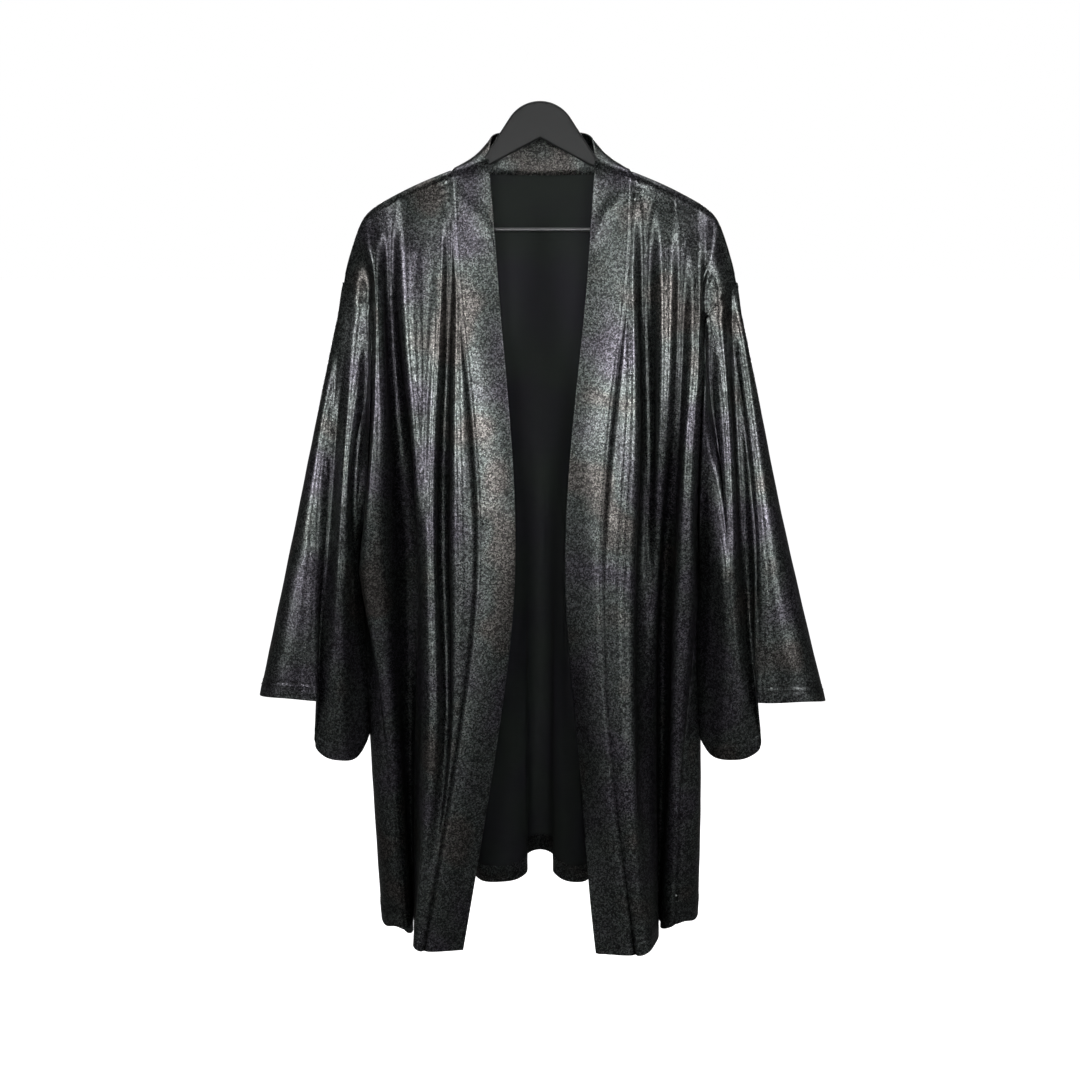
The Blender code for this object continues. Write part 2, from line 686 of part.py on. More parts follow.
def add_hanger(parent):
    plastic = principled("satin_black", (0.045, 0.046, 0.046), 0.38, 0.0)
    half = hanger_half()
    outline = half + [(-x, z) for x, z in half[-2:0:-1]]
    solid = bmesh.new()
    face = solid.faces.new([solid.verts.new((x * MM, -HANGER_THICK / 2 * MM, z * MM)) for x, z in outline])
    made = bmesh.ops.extrude_face_region(solid, geom=[face])
    moved = [v for v in made["geom"] if isinstance(v, bmesh.types.BMVert)]
    bmesh.ops.translate(solid, verts=moved, vec=Vector((0, HANGER_THICK * MM, 0)))
    bmesh.ops.recalc_face_normals(solid, faces=solid.faces)
    mesh = bpy.data.meshes.new("hanger")
    solid.to_mesh(mesh)
    solid.free()
    hanger = add_object("hanger", mesh, plastic, parent)
    bevel = hanger.modifiers.new("rounded_edges", "BEVEL")
    bevel.width = HANGER_EDGE * MM
    bevel.segments = EDGE_STEPS
    bevel.limit_method = "ANGLE"
    bevel.angle_limit = EDGE_ANGLE
    sockets = add_rod("bar_sockets", BAR_RADIUS + BAR_PLAY, LUG_X[0] + BAR_SOCKET + BAR_PLAY, plastic, parent)
    sockets.hide_render = True
    cut = hanger.modifiers.new("bar_sockets", "BOOLEAN")
    cut.object = sockets
    cut.operation = "DIFFERENCE"
    cut.solver = "EXACT"
    metal = principled("dark_metal", (0.12, 0.12, 0.12), 0.35, 0.6)
    add_rod("hanger_bar", BAR_RADIUS, LUG_X[0] + BAR_SOCKET, metal, parent)


def add_rod(name, radius, reach, material, parent):
    """A round rod along X, as far to each side of the middle as its reach, at the bar's height."""
    rod = bmesh.new()
    along_x = Matrix.Rotation(math.pi / 2, 4, "Y")
    bmesh.ops.create_cone(
        rod,
        cap_ends=True,
        segments=ROD_SIDES,
        radius1=radius * MM,
        radius2=radius * MM,
        depth=2 * reach * MM,
        matrix=Matrix.Translation((0, 0, BAR_Z * MM)) @ along_x,
    )
    mesh = bpy.data.meshes.new(name)
    rod.to_mesh(mesh)
    rod.free()
    return add_object(name, mesh, material, parent)


def clear_scene():
    for obj in list(bpy.data.objects):
        bpy.data.objects.remove(obj, do_unlink=True)


clear_scene()
robe = bpy.data.objects.new("kimono_robe", None)
bpy.context.scene.collection.objects.link(robe)
add_hanger(robe)
add_robe(robe)
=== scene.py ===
"""The open kimono robe of foil jersey on its plain hanger, dressed for pictures.

X runs to the right as seen from the front, Y from the front to the back, and Z up. Right and left
are the wearer's, so the right side is at -X. Tables and sizes are in millimetres.
"""

import math

import bmesh
import bpy
import numpy as np
from mathutils import Matrix, Vector


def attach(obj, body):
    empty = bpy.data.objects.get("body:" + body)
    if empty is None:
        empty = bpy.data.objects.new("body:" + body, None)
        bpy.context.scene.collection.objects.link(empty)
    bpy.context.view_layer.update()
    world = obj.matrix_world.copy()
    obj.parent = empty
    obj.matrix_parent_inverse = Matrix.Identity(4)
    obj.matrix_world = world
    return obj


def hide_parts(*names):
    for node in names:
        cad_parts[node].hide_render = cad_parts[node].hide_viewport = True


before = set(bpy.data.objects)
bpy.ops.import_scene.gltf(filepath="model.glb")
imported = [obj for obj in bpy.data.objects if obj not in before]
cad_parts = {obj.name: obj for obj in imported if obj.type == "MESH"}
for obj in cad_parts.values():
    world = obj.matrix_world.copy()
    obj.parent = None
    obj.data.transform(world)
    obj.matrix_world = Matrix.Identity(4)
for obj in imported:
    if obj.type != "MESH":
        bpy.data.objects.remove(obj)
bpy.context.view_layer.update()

MM = 0.001

# Cloth
LAYER = 0.9
HEM_LAYER = 1.5
BAND_LAYER = 2.4
BAND_WIDTH = 47.0
BAND_PUFF = (4.0, 1.5)
BAND_PUFF_Z = (-360.0, -240.0)
BAND_RISE = 4.5
BAND_TUCK = 1.4
BAND_SOFT = 14.0
BODY_HEM = 24.0
SLEEVE_HEM = 19.0

# Hanger
HANGER_THICK = 10.0
HANGER_EDGE = 3.0
HEAD_RADIUS = 42.0
HEAD_FLANK = math.radians(56.5)
GABLE_Z = -42.4
GABLE_SLOPE = 0.528
ARM_END = 192.0
ARM_TIP = 9.0
ARM_REST = 4.5
LUG_X = (168.0, 180.0)
LUG_Z = -154.0
BAR_Z = -146.8
BAR_RADIUS = 2.25
BAR_END = 175.0

# Body: levels down the panels, the hem's height at the hanger's plane and its rise to the back
LEVELS = {"yoke": -180.0, "chest": -350.0, "waist": -540.0, "hip": -740.0}
HEM_Z = -984.5
HEM_RISE = 0.2
NECK_X = {-1: 104.0, 1: 108.0}
NECK_DEPTH = 40.0
NECK_POWER = 4
NECK_Z = -78.0
NECK_DIP = 4.0
SHOULDER_ROLL = 10.0

# Grid of the panels: stations down the armhole and the side seam, and the rows between each two
ARM_SHARES = np.array(
    (0, 0.025, 0.055, 0.1, 0.155, 0.23, 0.31, 0.385, 0.46, 0.56, 0.66, 0.76, 0.85, 0.93, 1)
)
ARM_ROWS = len(ARM_SHARES) - 1
ARM_STEPS = 7
SIDE_ROWS = 11
SIDE_STEPS = 8
HEM_STEPS = 24
TOP_REACH = 0.5
TOP_FADE = 1.5
SHOULDER_POINTS = 200
EDGE_POINTS = 600
FRONT_STEPS = 6
BACK_STEPS = 3
LOOP_LEAD = 3
SLEEVE_ROWS = 11
SLEEVE_DOWN = 9
CUFF_DOWN = 25
SLEEVE_ROUND = 4
SLEEVE_STEPS = (1, 1, 2, 4, 4, 2, 1, 1, 1, 1, 1, 1, 1, 2)

ROW_AT = np.concatenate(
    [
        np.arange(ARM_ROWS * ARM_STEPS) / ARM_STEPS,
        ARM_ROWS + np.arange((SIDE_ROWS - 1) * SIDE_STEPS) / SIDE_STEPS,
        ARM_ROWS + SIDE_ROWS - 1 + np.linspace(0, 1, HEM_STEPS + 1),
    ]
)
ARM_FINE = np.interp(ROW_AT[ROW_AT <= ARM_ROWS], np.arange(ARM_ROWS + 1), ARM_SHARES)

# A fold's shoulders: their share of the way to the next fold, along the cloth and away from it
TURN_ALONG = 0.4
TURN_ACROSS = 0.12


def table(columns, *rows):
    """Rows of sizes under the names of their columns."""
    names = columns.split()
    return [dict(zip(names, row)) for row in rows]


# Outline of the shoulder from the neck to the top of the sleeve
SHOULDER = table(
    "x z",
    (104, -78),
    (134, -90),
    (181, -113),
    (203, -129),
    (213, -146),
    (219, -163),
    (225, -184),
    (231, -208),
)

# Front armholes from the shoulder to the underarm; the back ones mirror them, a little flatter
BACK_ARMHOLE = 0.9
ARMHOLE = {
    -1: table(
        "x y z",
        (231, 0, -208),
        (216, -18, -218),
        (204, -29, -231),
        (197, -41, -272),
        (198, -46, -341),
        (205, -36, -449),
        (214, -18, -513),
        (219, -3, -545),
    ),
    1: table(
        "x y z",
        (231, 0, -208),
        (213, -20, -224),
        (202, -31, -241),
        (194, -42, -280),
        (190, -46, -341),
        (188, -35, -449),
        (190, -18, -513),
        (194, -3, -545),
    ),
}
SIDE_SEAM = {
    -1: table("x y z", (200, -22, -647), (191, -28, -733), (177, -33, -847), (166, -35, -995)),
    1: table("x y z", (186, -22, -647), (178, -28, -733), (171, -33, -833), (166, -35, -988)),
}

# Folds of each panel: the place of a ridge or valley on the shoulder, then its distance from the
# centre and its depth at each level
FOLD = "fold top yoke yoke_y chest chest_y waist waist_y hip hip_y hem hem_y drop"
FRONT = {
    -1: table(
        FOLD,
        ("band_seam", 104, 97, -24, 83, -42, 76, -56, 96, -70, 139, -86, 0),
        ("band_ridge", 106, 102, -22, 96, -50, 97, -62, 103, -74, 143, -89, 0),
        ("band_valley", 109, 105, -18, 111, -30, 114, -36, 110, -58, 148, -89, -2),
        ("chest_ridge", 115, 112, -25, 124, -47, 129, -61, 129, -76, 152, -83, -3),
        ("chest_valley", 128, 125, -23, 135, -39, 135, -56, 139, -64, 153, -64, 0),
        ("mid_ridge", 153, 154, -26, 144, -45, 140, -50, 147, -40, 154, -36, 3),
        ("deep_groove", 175, 177, -16, 166, -18, 146, -8, 156, 2, 156, 8, 8),
        ("arm_ridge", 185, 184, -24, 188, -51, 207, -45, 184, -33, 161, -32, 10),
    ),
    1: table(
        FOLD,
        ("band_seam", 108, 103, -24, 87, -42, 75, -56, 82, -70, 114, -86, 5),
        ("band_ridge", 111, 109, -23, 106, -50, 100, -62, 104, -76, 121, -91, 4),
        ("chest_valley", 119, 118, -16, 128, -22, 127, -28, 122, -46, 129, -89, 1),
        ("chest_ridge", 151, 153, -26, 145, -46, 138, -32, 136, -28, 138, -72, 1),
        ("deep_groove", 162, 163, -20, 161, -34, 148, -12, 148, 2, 146, 8, 14),
        ("arm_ridge", 185, 181, -25, 174, -51, 172, -54, 167, -40, 156, -34, 2),
    ),
}
CENTRE_FOLDS = table(
    FOLD,
    ("centre_flank", 34, 32, 40, 26, 42, 21, 50, 20, 64, 23, 80, -2),
    ("flute_edge", 17, 16, 41, 14, 47, 13, 60, 15, 88, 18, 127, -6),
)
BACK = {
    -1: table(
        FOLD,
        ("side_fold", 185, 188, 24, 189, 46, 211, 24, 208, -4, 195, -6, 9),
        ("side_turn", 172, 175, 17, 177, 27, 195, 45, 200, 33, 189, 32, 4),
        ("side_valley", 158, 160, 17, 160, 25, 172, 32, 178, 28, 168, 36, 0),
        ("blade_ridge", 142, 142, 25, 142, 43, 149, 55, 149, 68, 146, 80, 0),
        ("blade_valley", 121, 119, 19, 118, 30, 118, 34, 121, 44, 123, 60, 0),
        ("neck_ridge", 104, 97, 30, 92, 46, 91, 60, 97, 76, 102, 92, 0),
        ("neck_valley", 72, 66, 36, 56, 38, 52, 43, 52, 53, 56, 66, -2),
    )
    + CENTRE_FOLDS,
    1: table(
        FOLD,
        ("side_fold", 185, 188, 24, 185, 45, 187, 26, 195, -4, 195, -6, 2),
        ("side_turn", 170, 172, 17, 171, 27, 177, 47, 187, 34, 188, 30, 0),
        ("side_valley", 156, 157, 17, 155, 25, 158, 32, 165, 26, 164, 33, 0),
        ("blade_ridge", 139, 137, 25, 135, 42, 134, 53, 137, 65, 136, 76, 0),
        ("blade_valley", 120, 117, 19, 113, 29, 107, 33, 108, 41, 110, 54, 0),
        ("neck_ridge", 108, 96, 30, 86, 45, 78, 58, 80, 75, 84, 92, 0),
        ("neck_valley", 70, 62, 36, 50, 38, 42, 43, 40, 53, 42, 66, -2),
    )
    + CENTRE_FOLDS,
}
CENTRE_FLUTE = table(FOLD, ("centre_flute", 0, 0, 42, 0, 50, 0, 66, 1, 98, 1, 138, -7))[0]

# Folds of a sleeve round from the overarm: their column at the armhole, their place half-way
# down, and their place at the cuff
SLEEVE = table(
    "fold column mid mid_y cuff cuff_y cuff_z",
    ("overarm", 0, 284, 0, 339, 0, -703),
    ("outer_ridge", 4, 267, -38, 303, -50, -698),
    ("outer_edge", 6, 256, -37, 264, -44, -702),
    ("inset_fold", 9, 250, -32, 272, -34, -762),
    ("inner_ridge", 12, 236, -48, 250, -46, -775),
    ("inner_groove", 18, 220, -31, 225, -33, -779),
    ("underarm", 23, 207, 2, 205, 8, -742),
    ("back_groove", -18, 221, 28, 226, 32, -770),
    ("back_ridge", -12, 238, 48, 247, 48, -756),
    ("back_inset", -9, 250, 30, 268, 18, -706),
    ("back_outer", -4, 270, 38, 306, 46, -709),
)
SLEEVE_NEAR = 0.3
SLEEVE_EASE = 0.3
SLEEVE_CLEAR = (-5.0, -2.4)
SLEEVE_CLEAR_Z = (-640, -575)
SLEEVE_SOFT = 3.0
SLEEVE_LEVELS = (-45, -30, -15, 0, 15)
# How the left sleeve's underarm and overarm differ from the right one's, half-way down and at the cuff
LEFT_SHIFT = table("at mid cuff cuff_z", ("underarm", -20, -17, 4), ("overarm", 0, 7, -8))

# The band's reach from its seam to its folded edge
BAND = {
    -1: table(
        "z inward back up",
        (-78, 44, 0, 17),
        (-180, 44, 6, 3),
        (-350, 44, 5, 1),
        (-540, 47, 2, 0),
        (-740, 45, 6, 0),
        (-1000, 45, 4, 0),
    ),
    1: table(
        "z inward back up",
        (-78, 44, 0, 17),
        (-180, 44, 6, 3),
        (-350, 45, 4, 1),
        (-540, 43, 10, 0),
        (-740, 37, 26, 0),
        (-1000, 46, 4, 0),
    ),
}
BAND_NECK = table("share inward back up", (0.0, 44, 0, 17), (0.2, 25, 0, 41), (1.0, 0, -4, 47))

# Columns across the band, in shares of its width, from the edge tucked under the seam to the fold
BAND_SHARES = np.array(
    (-0.05, 0, 0.02, 0.05, 0.1, 0.18, 0.3, 0.42, 0.54, 0.66, 0.78, 0.88, 0.94, 0.97, 0.985, 0.995, 1)
)

# Relief of the cloth
SEAM_SINK = 1.6
SEAM_WIDE = 2.6
SEAM_PUCKER = 0.22
# Painted shade along the seam grooves and hem stitch lines: its width and its strength
SEAM_FINE = 1.6
SEAM_SHADE = 0.35
EDGE_ON = 2.0
EDGE_UNDER = 1.2
ARMHOLE_SINK = 4.0
ARMHOLE_WIDE = 7.0
ARMHOLE_DEPTH = (8, 30)
ARMHOLE_END = (-575, -500)
ARMHOLE_LEAST = 150.0
ARMHOLE_TOP = (-320, -240)
ARMHOLE_FAINT = 0.75
TOP_FLAT = 12.0
PUCKER = 8.5
PUCKER_DRIFT = table("swing length", (1.7, 23.0), (0.9, 7.3))
PUCKER_EVEN = 0.6
PUCKER_SPELL = 37.0
PUCKER_REACH = {"panel": 14.0, "sleeve": 12.0, "band": 9.0}
PUCKER_START = 4.0
BAND_PUCKER_RISE = 12.0
HEM_RAISE = 0.3
HEM_SWELL = 0.15
HEM_EDGE = (-2.0, 1.0)
HEM_PINCH = 0.2
HEM_PUCKER = 0.3
HEM_DRIFT = 11.0
PINCH_WIDE = 2.0
TWIN = 5.5
TWIN_PINCH = 0.4
RIPPLES = table("along down phase height", (-47.0, 170.0, 2.1, 0.08), (83.0, 61.0, 1.2, 0.1))
SOFT_WIDE = 8.0
SOFT_FROM = (5.0, 45.0)
SPREAD = 3
# Painted shade in the folds' grooves and painted highlight on their crests: the width they are measured
# over, the sampling step (which also serves the smoothing), the depth for the whole range, the sleeves'
# share of the crest highlight and the tone of flat cloth
FOLD_WIDE = 20.0
FOLD_STEP = 2.0
FOLD_DEEP = 7.0
SLEEVE_CREST_HIGHLIGHT = 0.65
MID_TONE = 0.5
CREASE = "x0 z0 x1 z1 bow width raise"
FRONT_CREASES = {
    -1: table(
        CREASE,
        (-177, -135, -168, -420, 0, 10, -5.4),
        (-104, -100, -111, -380, 1, 8, -4.2),
        (-141, -170, -146, -330, 2, 9, -1.8),
        (-180, -390, -178, -620, 2, 8, -1.8),
        (-196, -340, -203, -620, 0, 8, 2.4),
        (-150, -560, -158, -760, 4, 9, 1.08),
        (-118, -640, -121, -820, -2, 8, 0.9),
        (-128, -800, -148, -960, 3, 8, 0.84),
    ),
    1: table(
        CREASE,
        (119, -110, 127, -400, 0, 9, -4.8),
        (195, -105, 193, -330, 0, 8, -5.4),
        (162, -150, 161, -380, 0, 9, -3.0),
        (128, -440, 130, -640, 2, 8, -1.44),
        (160, -560, 168, -760, -4, 9, 1.08),
        (112, -620, 114, -820, 2, 8, 0.9),
        (128, -760, 132, -950, -3, 8, 0.9),
    ),
}
BACK_CREASES = table(
    CREASE,
    (-150, -150, -138, -360, 3, 9, 1.44),
    (-92, -200, -90, -420, -3, 10, -1.56),
    (-40, -140, -36, -380, 2, 9, 1.08),
    (90, -190, 86, -440, 3, 10, -1.44),
    (148, -140, 136, -350, -3, 9, 1.32),
    (-120, -430, -112, -690, 4, 9, 1.32),
    (-60, -520, -66, -800, -3, 9, 1.08),
    (62, -480, 60, -760, 3, 9, 1.2),
    (118, -520, 112, -780, -4, 10, -1.2),
    (-170, -600, -176, -820, 3, 8, 1.08),
    (172, -590, 170, -840, -3, 8, 0.96),
    (96, -780, 92, -950, -2, 8, 0.96),
)
SLEEVE_CREASES = {
    -1: table(
        CREASE,
        (-221, -250, -238, -740, 0, 9, 5.4),
        (-238, -250, -252, -520, -2, 9, -6.0),
        (-284, -460, -298, -660, 3, 9, -1.08),
        (-262, -540, -270, -690, 3, 8, -1.2),
        (-226, -520, -238, -600, -4, 6, 1.44),
    ),
    1: table(
        CREASE,
        (214, -250, 232, -560, 0, 7, 4.2),
        (222, -190, 256, -690, 3, 9, -15.6),
        (284, -470, 304, -650, -3, 9, -1.08),
        (222, -225, 212, -250, -3, 4, 1.44),
        (206, -520, 216, -600, 4, 6, 1.44),
    ),
}
BAND_CREASES = table(
    CREASE,
    (-97, -98, -70, -158, 3, 5, 1.44),
    (-78, -112, -54, -168, 3, 5, 1.32),
    (99, -96, 68, -156, -3, 5, 1.44),
    (84, -110, 60, -170, -3, 5, 1.32),
    (-62, -462, -80, -498, 2, 5, 1.08),
    (-66, -480, -76, -520, 2, 5, -0.84),
    (70, -455, 84, -488, -2, 5, 1.08),
    (72, -470, 82, -512, -2, 5, -0.84),
    (-56, -560, -60, -760, 3, 10, 0.72),
    (60, -600, 66, -800, -3, 10, 0.72),
)

# Grooves beside the armholes, on both sides of the seam
ARMHOLE_CREASES = {
    -1: table(CREASE, (-199, -170, -222, -540, 0, 8.0, -16.2)),
    1: table(CREASE, (194, -170, 221, -540, 0, 8.0, -16.2)),
}

# Stitches of the hems' twin needle
STITCH_LENGTH = 2.6
STITCH_PITCH = 3.4
STITCH_RADIUS = 0.32
STITCH_SIDES = 5
STITCH_ENDS = (0.2, 0.8)

# Picture
CAMERA_AT = (0.0, -2.40, -0.0746)
CAMERA_TILT = math.radians(10.4)
CAMERA_LENS = 67.8
FLOOR_Z = -1.30
FLOOR_REACH = 20.0

# Materials: how many flakes, grains and patches there are to a metre
FLAKES = 640.0
GRAIN = 1100.0
WEAR = 60.0
TINTS = 14.0

# Foil: the tones of its layers and its hues, then its painted shade in the folds' grooves
# and painted highlight on their crests
FLAKE_TONES = ((0.25, 0.05), (0.5, 0.12), (0.8, 0.3))
CRACK_TONES = ((0.0, 0.6), (0.12, 1.0))
GRAIN_TONES = ((0.35, 0.78), (0.65, 1.1))
WEAR_TONES = ((0.35, 0.9), (0.65, 1.02))
FOIL_HUES = (
    (0.34, (0.96, 0.92, 1.07)),
    (0.45, (0.94, 1.0, 1.01)),
    (0.56, (0.9, 1.01, 0.97)),
    (0.66, (1.04, 0.98, 0.93)),
)
FOLD_SHADE_TONES = ((0.0, 0.34), (0.3, 0.42), (0.5, 0.56), (0.7, 0.8), (1.0, 1.02))
FOIL_ROUGHNESS = ((0.3, 0.25), (0.7, 0.36))
INSIDE_HUES = ((0.35, (0.015, 0.015, 0.02)), (0.65, (0.016, 0.021, 0.018)))

# Plain colours
PLASTIC = (0.016, 0.017, 0.017, 1)
STEEL = (0.22, 0.22, 0.225, 1)
THREAD = (0.012, 0.012, 0.013, 1)
PALE = (0.9, 0.9, 0.9, 1)
WHITE = (1, 1, 1, 1)

# Finish of the meshes
SHARP = math.radians(50)
EDGE_STEPS = 4
HEAD_POINTS = 40
ARM_POINTS = 12
ROD_SIDES = 32
BEHIND = 0.05

ROOM_LIGHT = 0.055
SOFTBOX = "name x y z aim_x aim_z wide tall spread watts"
SOFTBOX_PAIRS = table(
    SOFTBOX,
    ("front_softbox", 0.55, -2.9, -0.05, 0.12, -0.45, 0.4, 0.5, 36, 0.7),
    ("softbox", 1.9, -1.6, 0.0, 0.0, -0.4, 0.5, 1.0, 120, 8),
    ("back_softbox", 0.55, 2.9, -0.05, 0.12, -0.45, 0.4, 0.5, 36, 0.7),
    ("rear_softbox", 0.9, 2.6, 0.0, 0.0, -0.4, 0.5, 1.0, 120, 6),
)
TOP_SOFTBOX = table(SOFTBOX, ("top_softbox", 0.0, 0.4, 1.7, 0.0, -0.4, 2.0, 1.2, 180, 16))[0]


def smooth(knots, points, at):
    """Points on the natural spline through the given points at the knots."""
    knots = np.asarray(knots, float)
    points = np.asarray(points, float)
    at = np.asarray(at, float)
    step = np.diff(knots)
    matrix = np.eye(len(knots))
    right = np.zeros_like(points)
    for i in range(1, len(knots) - 1):
        matrix[i, i - 1 : i + 2] = step[i - 1], 2 * (step[i - 1] + step[i]), step[i]
        right[i] = 6 * (
            (points[i + 1] - points[i]) / step[i] - (points[i] - points[i - 1]) / step[i - 1]
        )
    bend = np.linalg.solve(matrix, right.reshape(len(knots), -1)).reshape(points.shape)
    k = np.clip(np.searchsorted(knots, at, side="right") - 1, 0, len(step) - 1)
    shape = (-1,) + (1,) * (points.ndim - 1)
    span = step[k].reshape(shape)
    w = ((at - knots[k]) / step[k]).reshape(shape)
    level = (1 - w) * points[k] + w * points[k + 1]
    curve = ((1 - w) ** 3 - (1 - w)) * bend[k] + (w**3 - w) * bend[k + 1]
    return level + span**2 / 6 * curve


def chords(points):
    """Distances along a line of points."""
    return np.concatenate([[0], np.cumsum(np.linalg.norm(np.diff(points, axis=0), axis=1))])


def on_line(at, places, line):
    """Points at these places on a line, from the places of its own points."""
    return np.stack([np.interp(at, places, line[:, i]) for i in range(line.shape[1])], axis=-1)


def closed_up(grid):
    """A grid round a tube with its first column repeated at its end."""
    return np.concatenate([grid, grid[:, :1]], axis=1)


def unit(vectors):
    """Directions of length one."""
    return vectors / np.linalg.norm(vectors, axis=-1, keepdims=True)


def turn(way, tangent):
    """The step from a fold to its shoulder, on the way to the next fold."""
    along = (way @ tangent) * tangent
    return TURN_ALONG * along + TURN_ACROSS * (way - along)


def across(points, lead=0):
    """A section through the points of the folds, with a shoulder either side of each fold.

    The first and last `lead` points only guide the section's ends.
    """
    ways = np.diff(points, axis=0)
    heads = unit(ways)
    tangents = unit(np.vstack([heads[:1], heads[1:] + heads[:-1], heads[-1:]]))
    section = [points[lead]]
    for i in range(lead, len(ways) - lead):
        section.append(points[i] + turn(ways[i], tangents[i]))
        section.append(points[i + 1] - turn(ways[i], tangents[i + 1]))
        section.append(points[i + 1])
    return np.array(section)


def between(places):
    """The places of the columns, from the places of the folds."""
    at = [places[0]]
    for one, two in zip(places[:-1], places[1:]):
        at.extend(one + (two - one) * np.array((TURN_ALONG, 1 - TURN_ALONG, 1)))
    return np.array(at)


def columns(rows, *names):
    """Some columns of a table as numbers."""
    return np.array([[row[name] for name in names] for row in rows], float)


def row_heights(top, hem):
    """Heights of a panel's rows down a line, level from the underarm on."""
    shoulder, underarm = ARMHOLE[1][0]["z"], ARMHOLE[1][-1]["z"]
    arm = shoulder + (underarm - shoulder) * ARM_FINE**2 + (top - shoulder) * (1 - ARM_FINE) ** TOP_FADE
    side = underarm + (hem - underarm) * (ROW_AT[len(ARM_FINE) :] - ARM_ROWS) / SIDE_ROWS
    return np.concatenate([arm, side])


def on_shoulder(x):
    """Points (x, z) of the shoulder's outline at these distances from the centre."""
    line = columns(SHOULDER, "x", "z")
    fine = smooth(chords(line), line, np.linspace(0, chords(line)[-1], SHOULDER_POINTS))
    return on_line(np.interp(x, fine[:, 0], chords(fine)), chords(fine), fine)


def top_of(x, sign, back):
    """A fold's start on the shoulder, or on the back of the neck, and its share of the roll."""
    neck = NECK_X[sign]
    if back and x < neck:
        share = (x / neck) ** NECK_POWER
        z = NECK_Z - NECK_DIP * (1 - (x / neck) ** 2)
        return np.array([sign * x, NECK_DEPTH * (1 - share), z]), share
    z = on_shoulder([x])[0, 1]
    return np.array([sign * x, 0.0, z]), 1.0


def fold_line(fold, sign, back=False):
    """Points down one ridge or valley of a panel, one for each row."""
    top, share = top_of(fold["top"], sign, back)
    roll = SHOULDER_ROLL * share * (1 if back else -1)
    x = [sign * fold[level] for level in (*LEVELS, "hem")]
    y = [fold[level + "_y"] for level in (*LEVELS, "hem")]
    hem = HEM_Z + HEM_RISE * y[-1] - fold["drop"]
    drops = top[2] - np.array([top[2], *LEVELS.values(), hem])
    drop = top[2] - row_heights(top[2], hem)
    turned = np.sqrt(1 - (1 - np.clip(drop / SHOULDER_ROLL, 0, 1)) ** 2)
    path = np.array([[top[0], top[1]]] + [[a, b - roll] for a, b in zip(x, y)])
    line = smooth(drops, path, drop)
    return np.stack([line[:, 0], line[:, 1] + roll * turned, top[2] - drop], axis=1)


def at_heights(line, heights):
    """Points at these heights on a smooth line that runs down."""
    length = chords(line)
    fine = smooth(length, line, np.linspace(0, length[-1], EDGE_POINTS))
    return on_line(-heights, -fine[:, 2], fine)


def edge_line(sign, back=False):
    """A panel's outer edge, down the armhole and then the side seam."""
    arm = columns(ARMHOLE[sign], "x", "y", "z")
    if back:
        arm[:, 1] *= -BACK_ARMHOLE
        arm[-1, 1] = ARMHOLE[sign][-1]["y"]
    side = np.vstack([arm[-1:], columns(SIDE_SEAM[sign], "x", "y", "z")])
    heights = row_heights(arm[0, 2], side[-1, 2])
    above = at_heights(arm, heights[: len(ARM_FINE)])
    below = at_heights(side, heights[len(ARM_FINE) :])
    return np.vstack([above, below]) * (sign, 1, 1)


def refine(section, steps):
    """A smooth section, with so many steps between each two points of a coarser one."""
    knots = chords(section)
    inside = knots[:-1, None] + np.diff(knots)[:, None] * np.arange(steps) / steps
    return smooth(knots, section, np.append(inside.ravel(), knots[-1]))


def panel(lines, top, before, after, steps):
    """A grid of rows and columns through fold lines, whose first row is moved to the given top.

    Below the underarm the neighbours' nearest lines guide the sections' ends.
    """
    grid = []
    for i, row in enumerate(ROW_AT):
        points = np.array([line[i] for line in lines])
        section = across(points)
        if row > ARM_ROWS:
            guided = across(np.vstack([before[i], points, after[i]]), lead=1)
            section += (guided - section) * min(row - ARM_ROWS, 1)
        grid.append(section)
    grid = np.array(grid)
    fade = np.zeros(len(grid))
    fade[: len(ARM_FINE)] = np.clip(1 - ARM_FINE / TOP_REACH, 0, 1) ** 2
    grid = grid + fade[:, None, None] * (top - grid[0])
    return np.array([refine(section, steps) for section in grid])


def front_lines(sign):
    return [fold_line(fold, sign) for fold in FRONT[sign]] + [edge_line(sign)]


def back_lines(sign):
    return [edge_line(sign, back=True)] + [fold_line(fold, sign, back=True) for fold in BACK[sign]]


def front_grid(sign):
    """A front from its band seam to its side seam."""
    lines = front_lines(sign)
    tops = [fold["top"] for fold in FRONT[sign]] + [SHOULDER[-1]["x"]]
    shoulder = on_shoulder(between(tops))
    top = np.stack([sign * shoulder[:, 0], 0 * shoulder[:, 0], shoulder[:, 1]], axis=1)
    top[0] = lines[0][0]
    inward = 2 * lines[0] - lines[1]
    return panel(lines, top, inward, back_lines(sign)[1], FRONT_STEPS)


def back_top(sign):
    """The back's upper edge from the sleeve to the middle of the neck."""
    tops = [SHOULDER[-1]["x"]] + [fold["top"] for fold in BACK[sign]] + [0.0]
    return np.array([top_of(x, sign, back=True)[0] for x in between(tops)])


def back_grid():
    """The back from its right side seam to its left one."""
    right, left = back_lines(-1), back_lines(1)
    lines = right + [fold_line(CENTRE_FLUTE, 1, back=True)] + left[::-1]
    top = np.vstack([back_top(-1), back_top(1)[-2::-1]])
    return panel(lines, top, front_lines(-1)[-2], front_lines(1)[-2], BACK_STEPS)


def armhole_line(sign, at, back=False):
    """Points of the armhole's edge at these places in its stations."""
    return on_line(at, ROW_AT[: len(ARM_FINE)], edge_line(sign, back)[: len(ARM_FINE)])


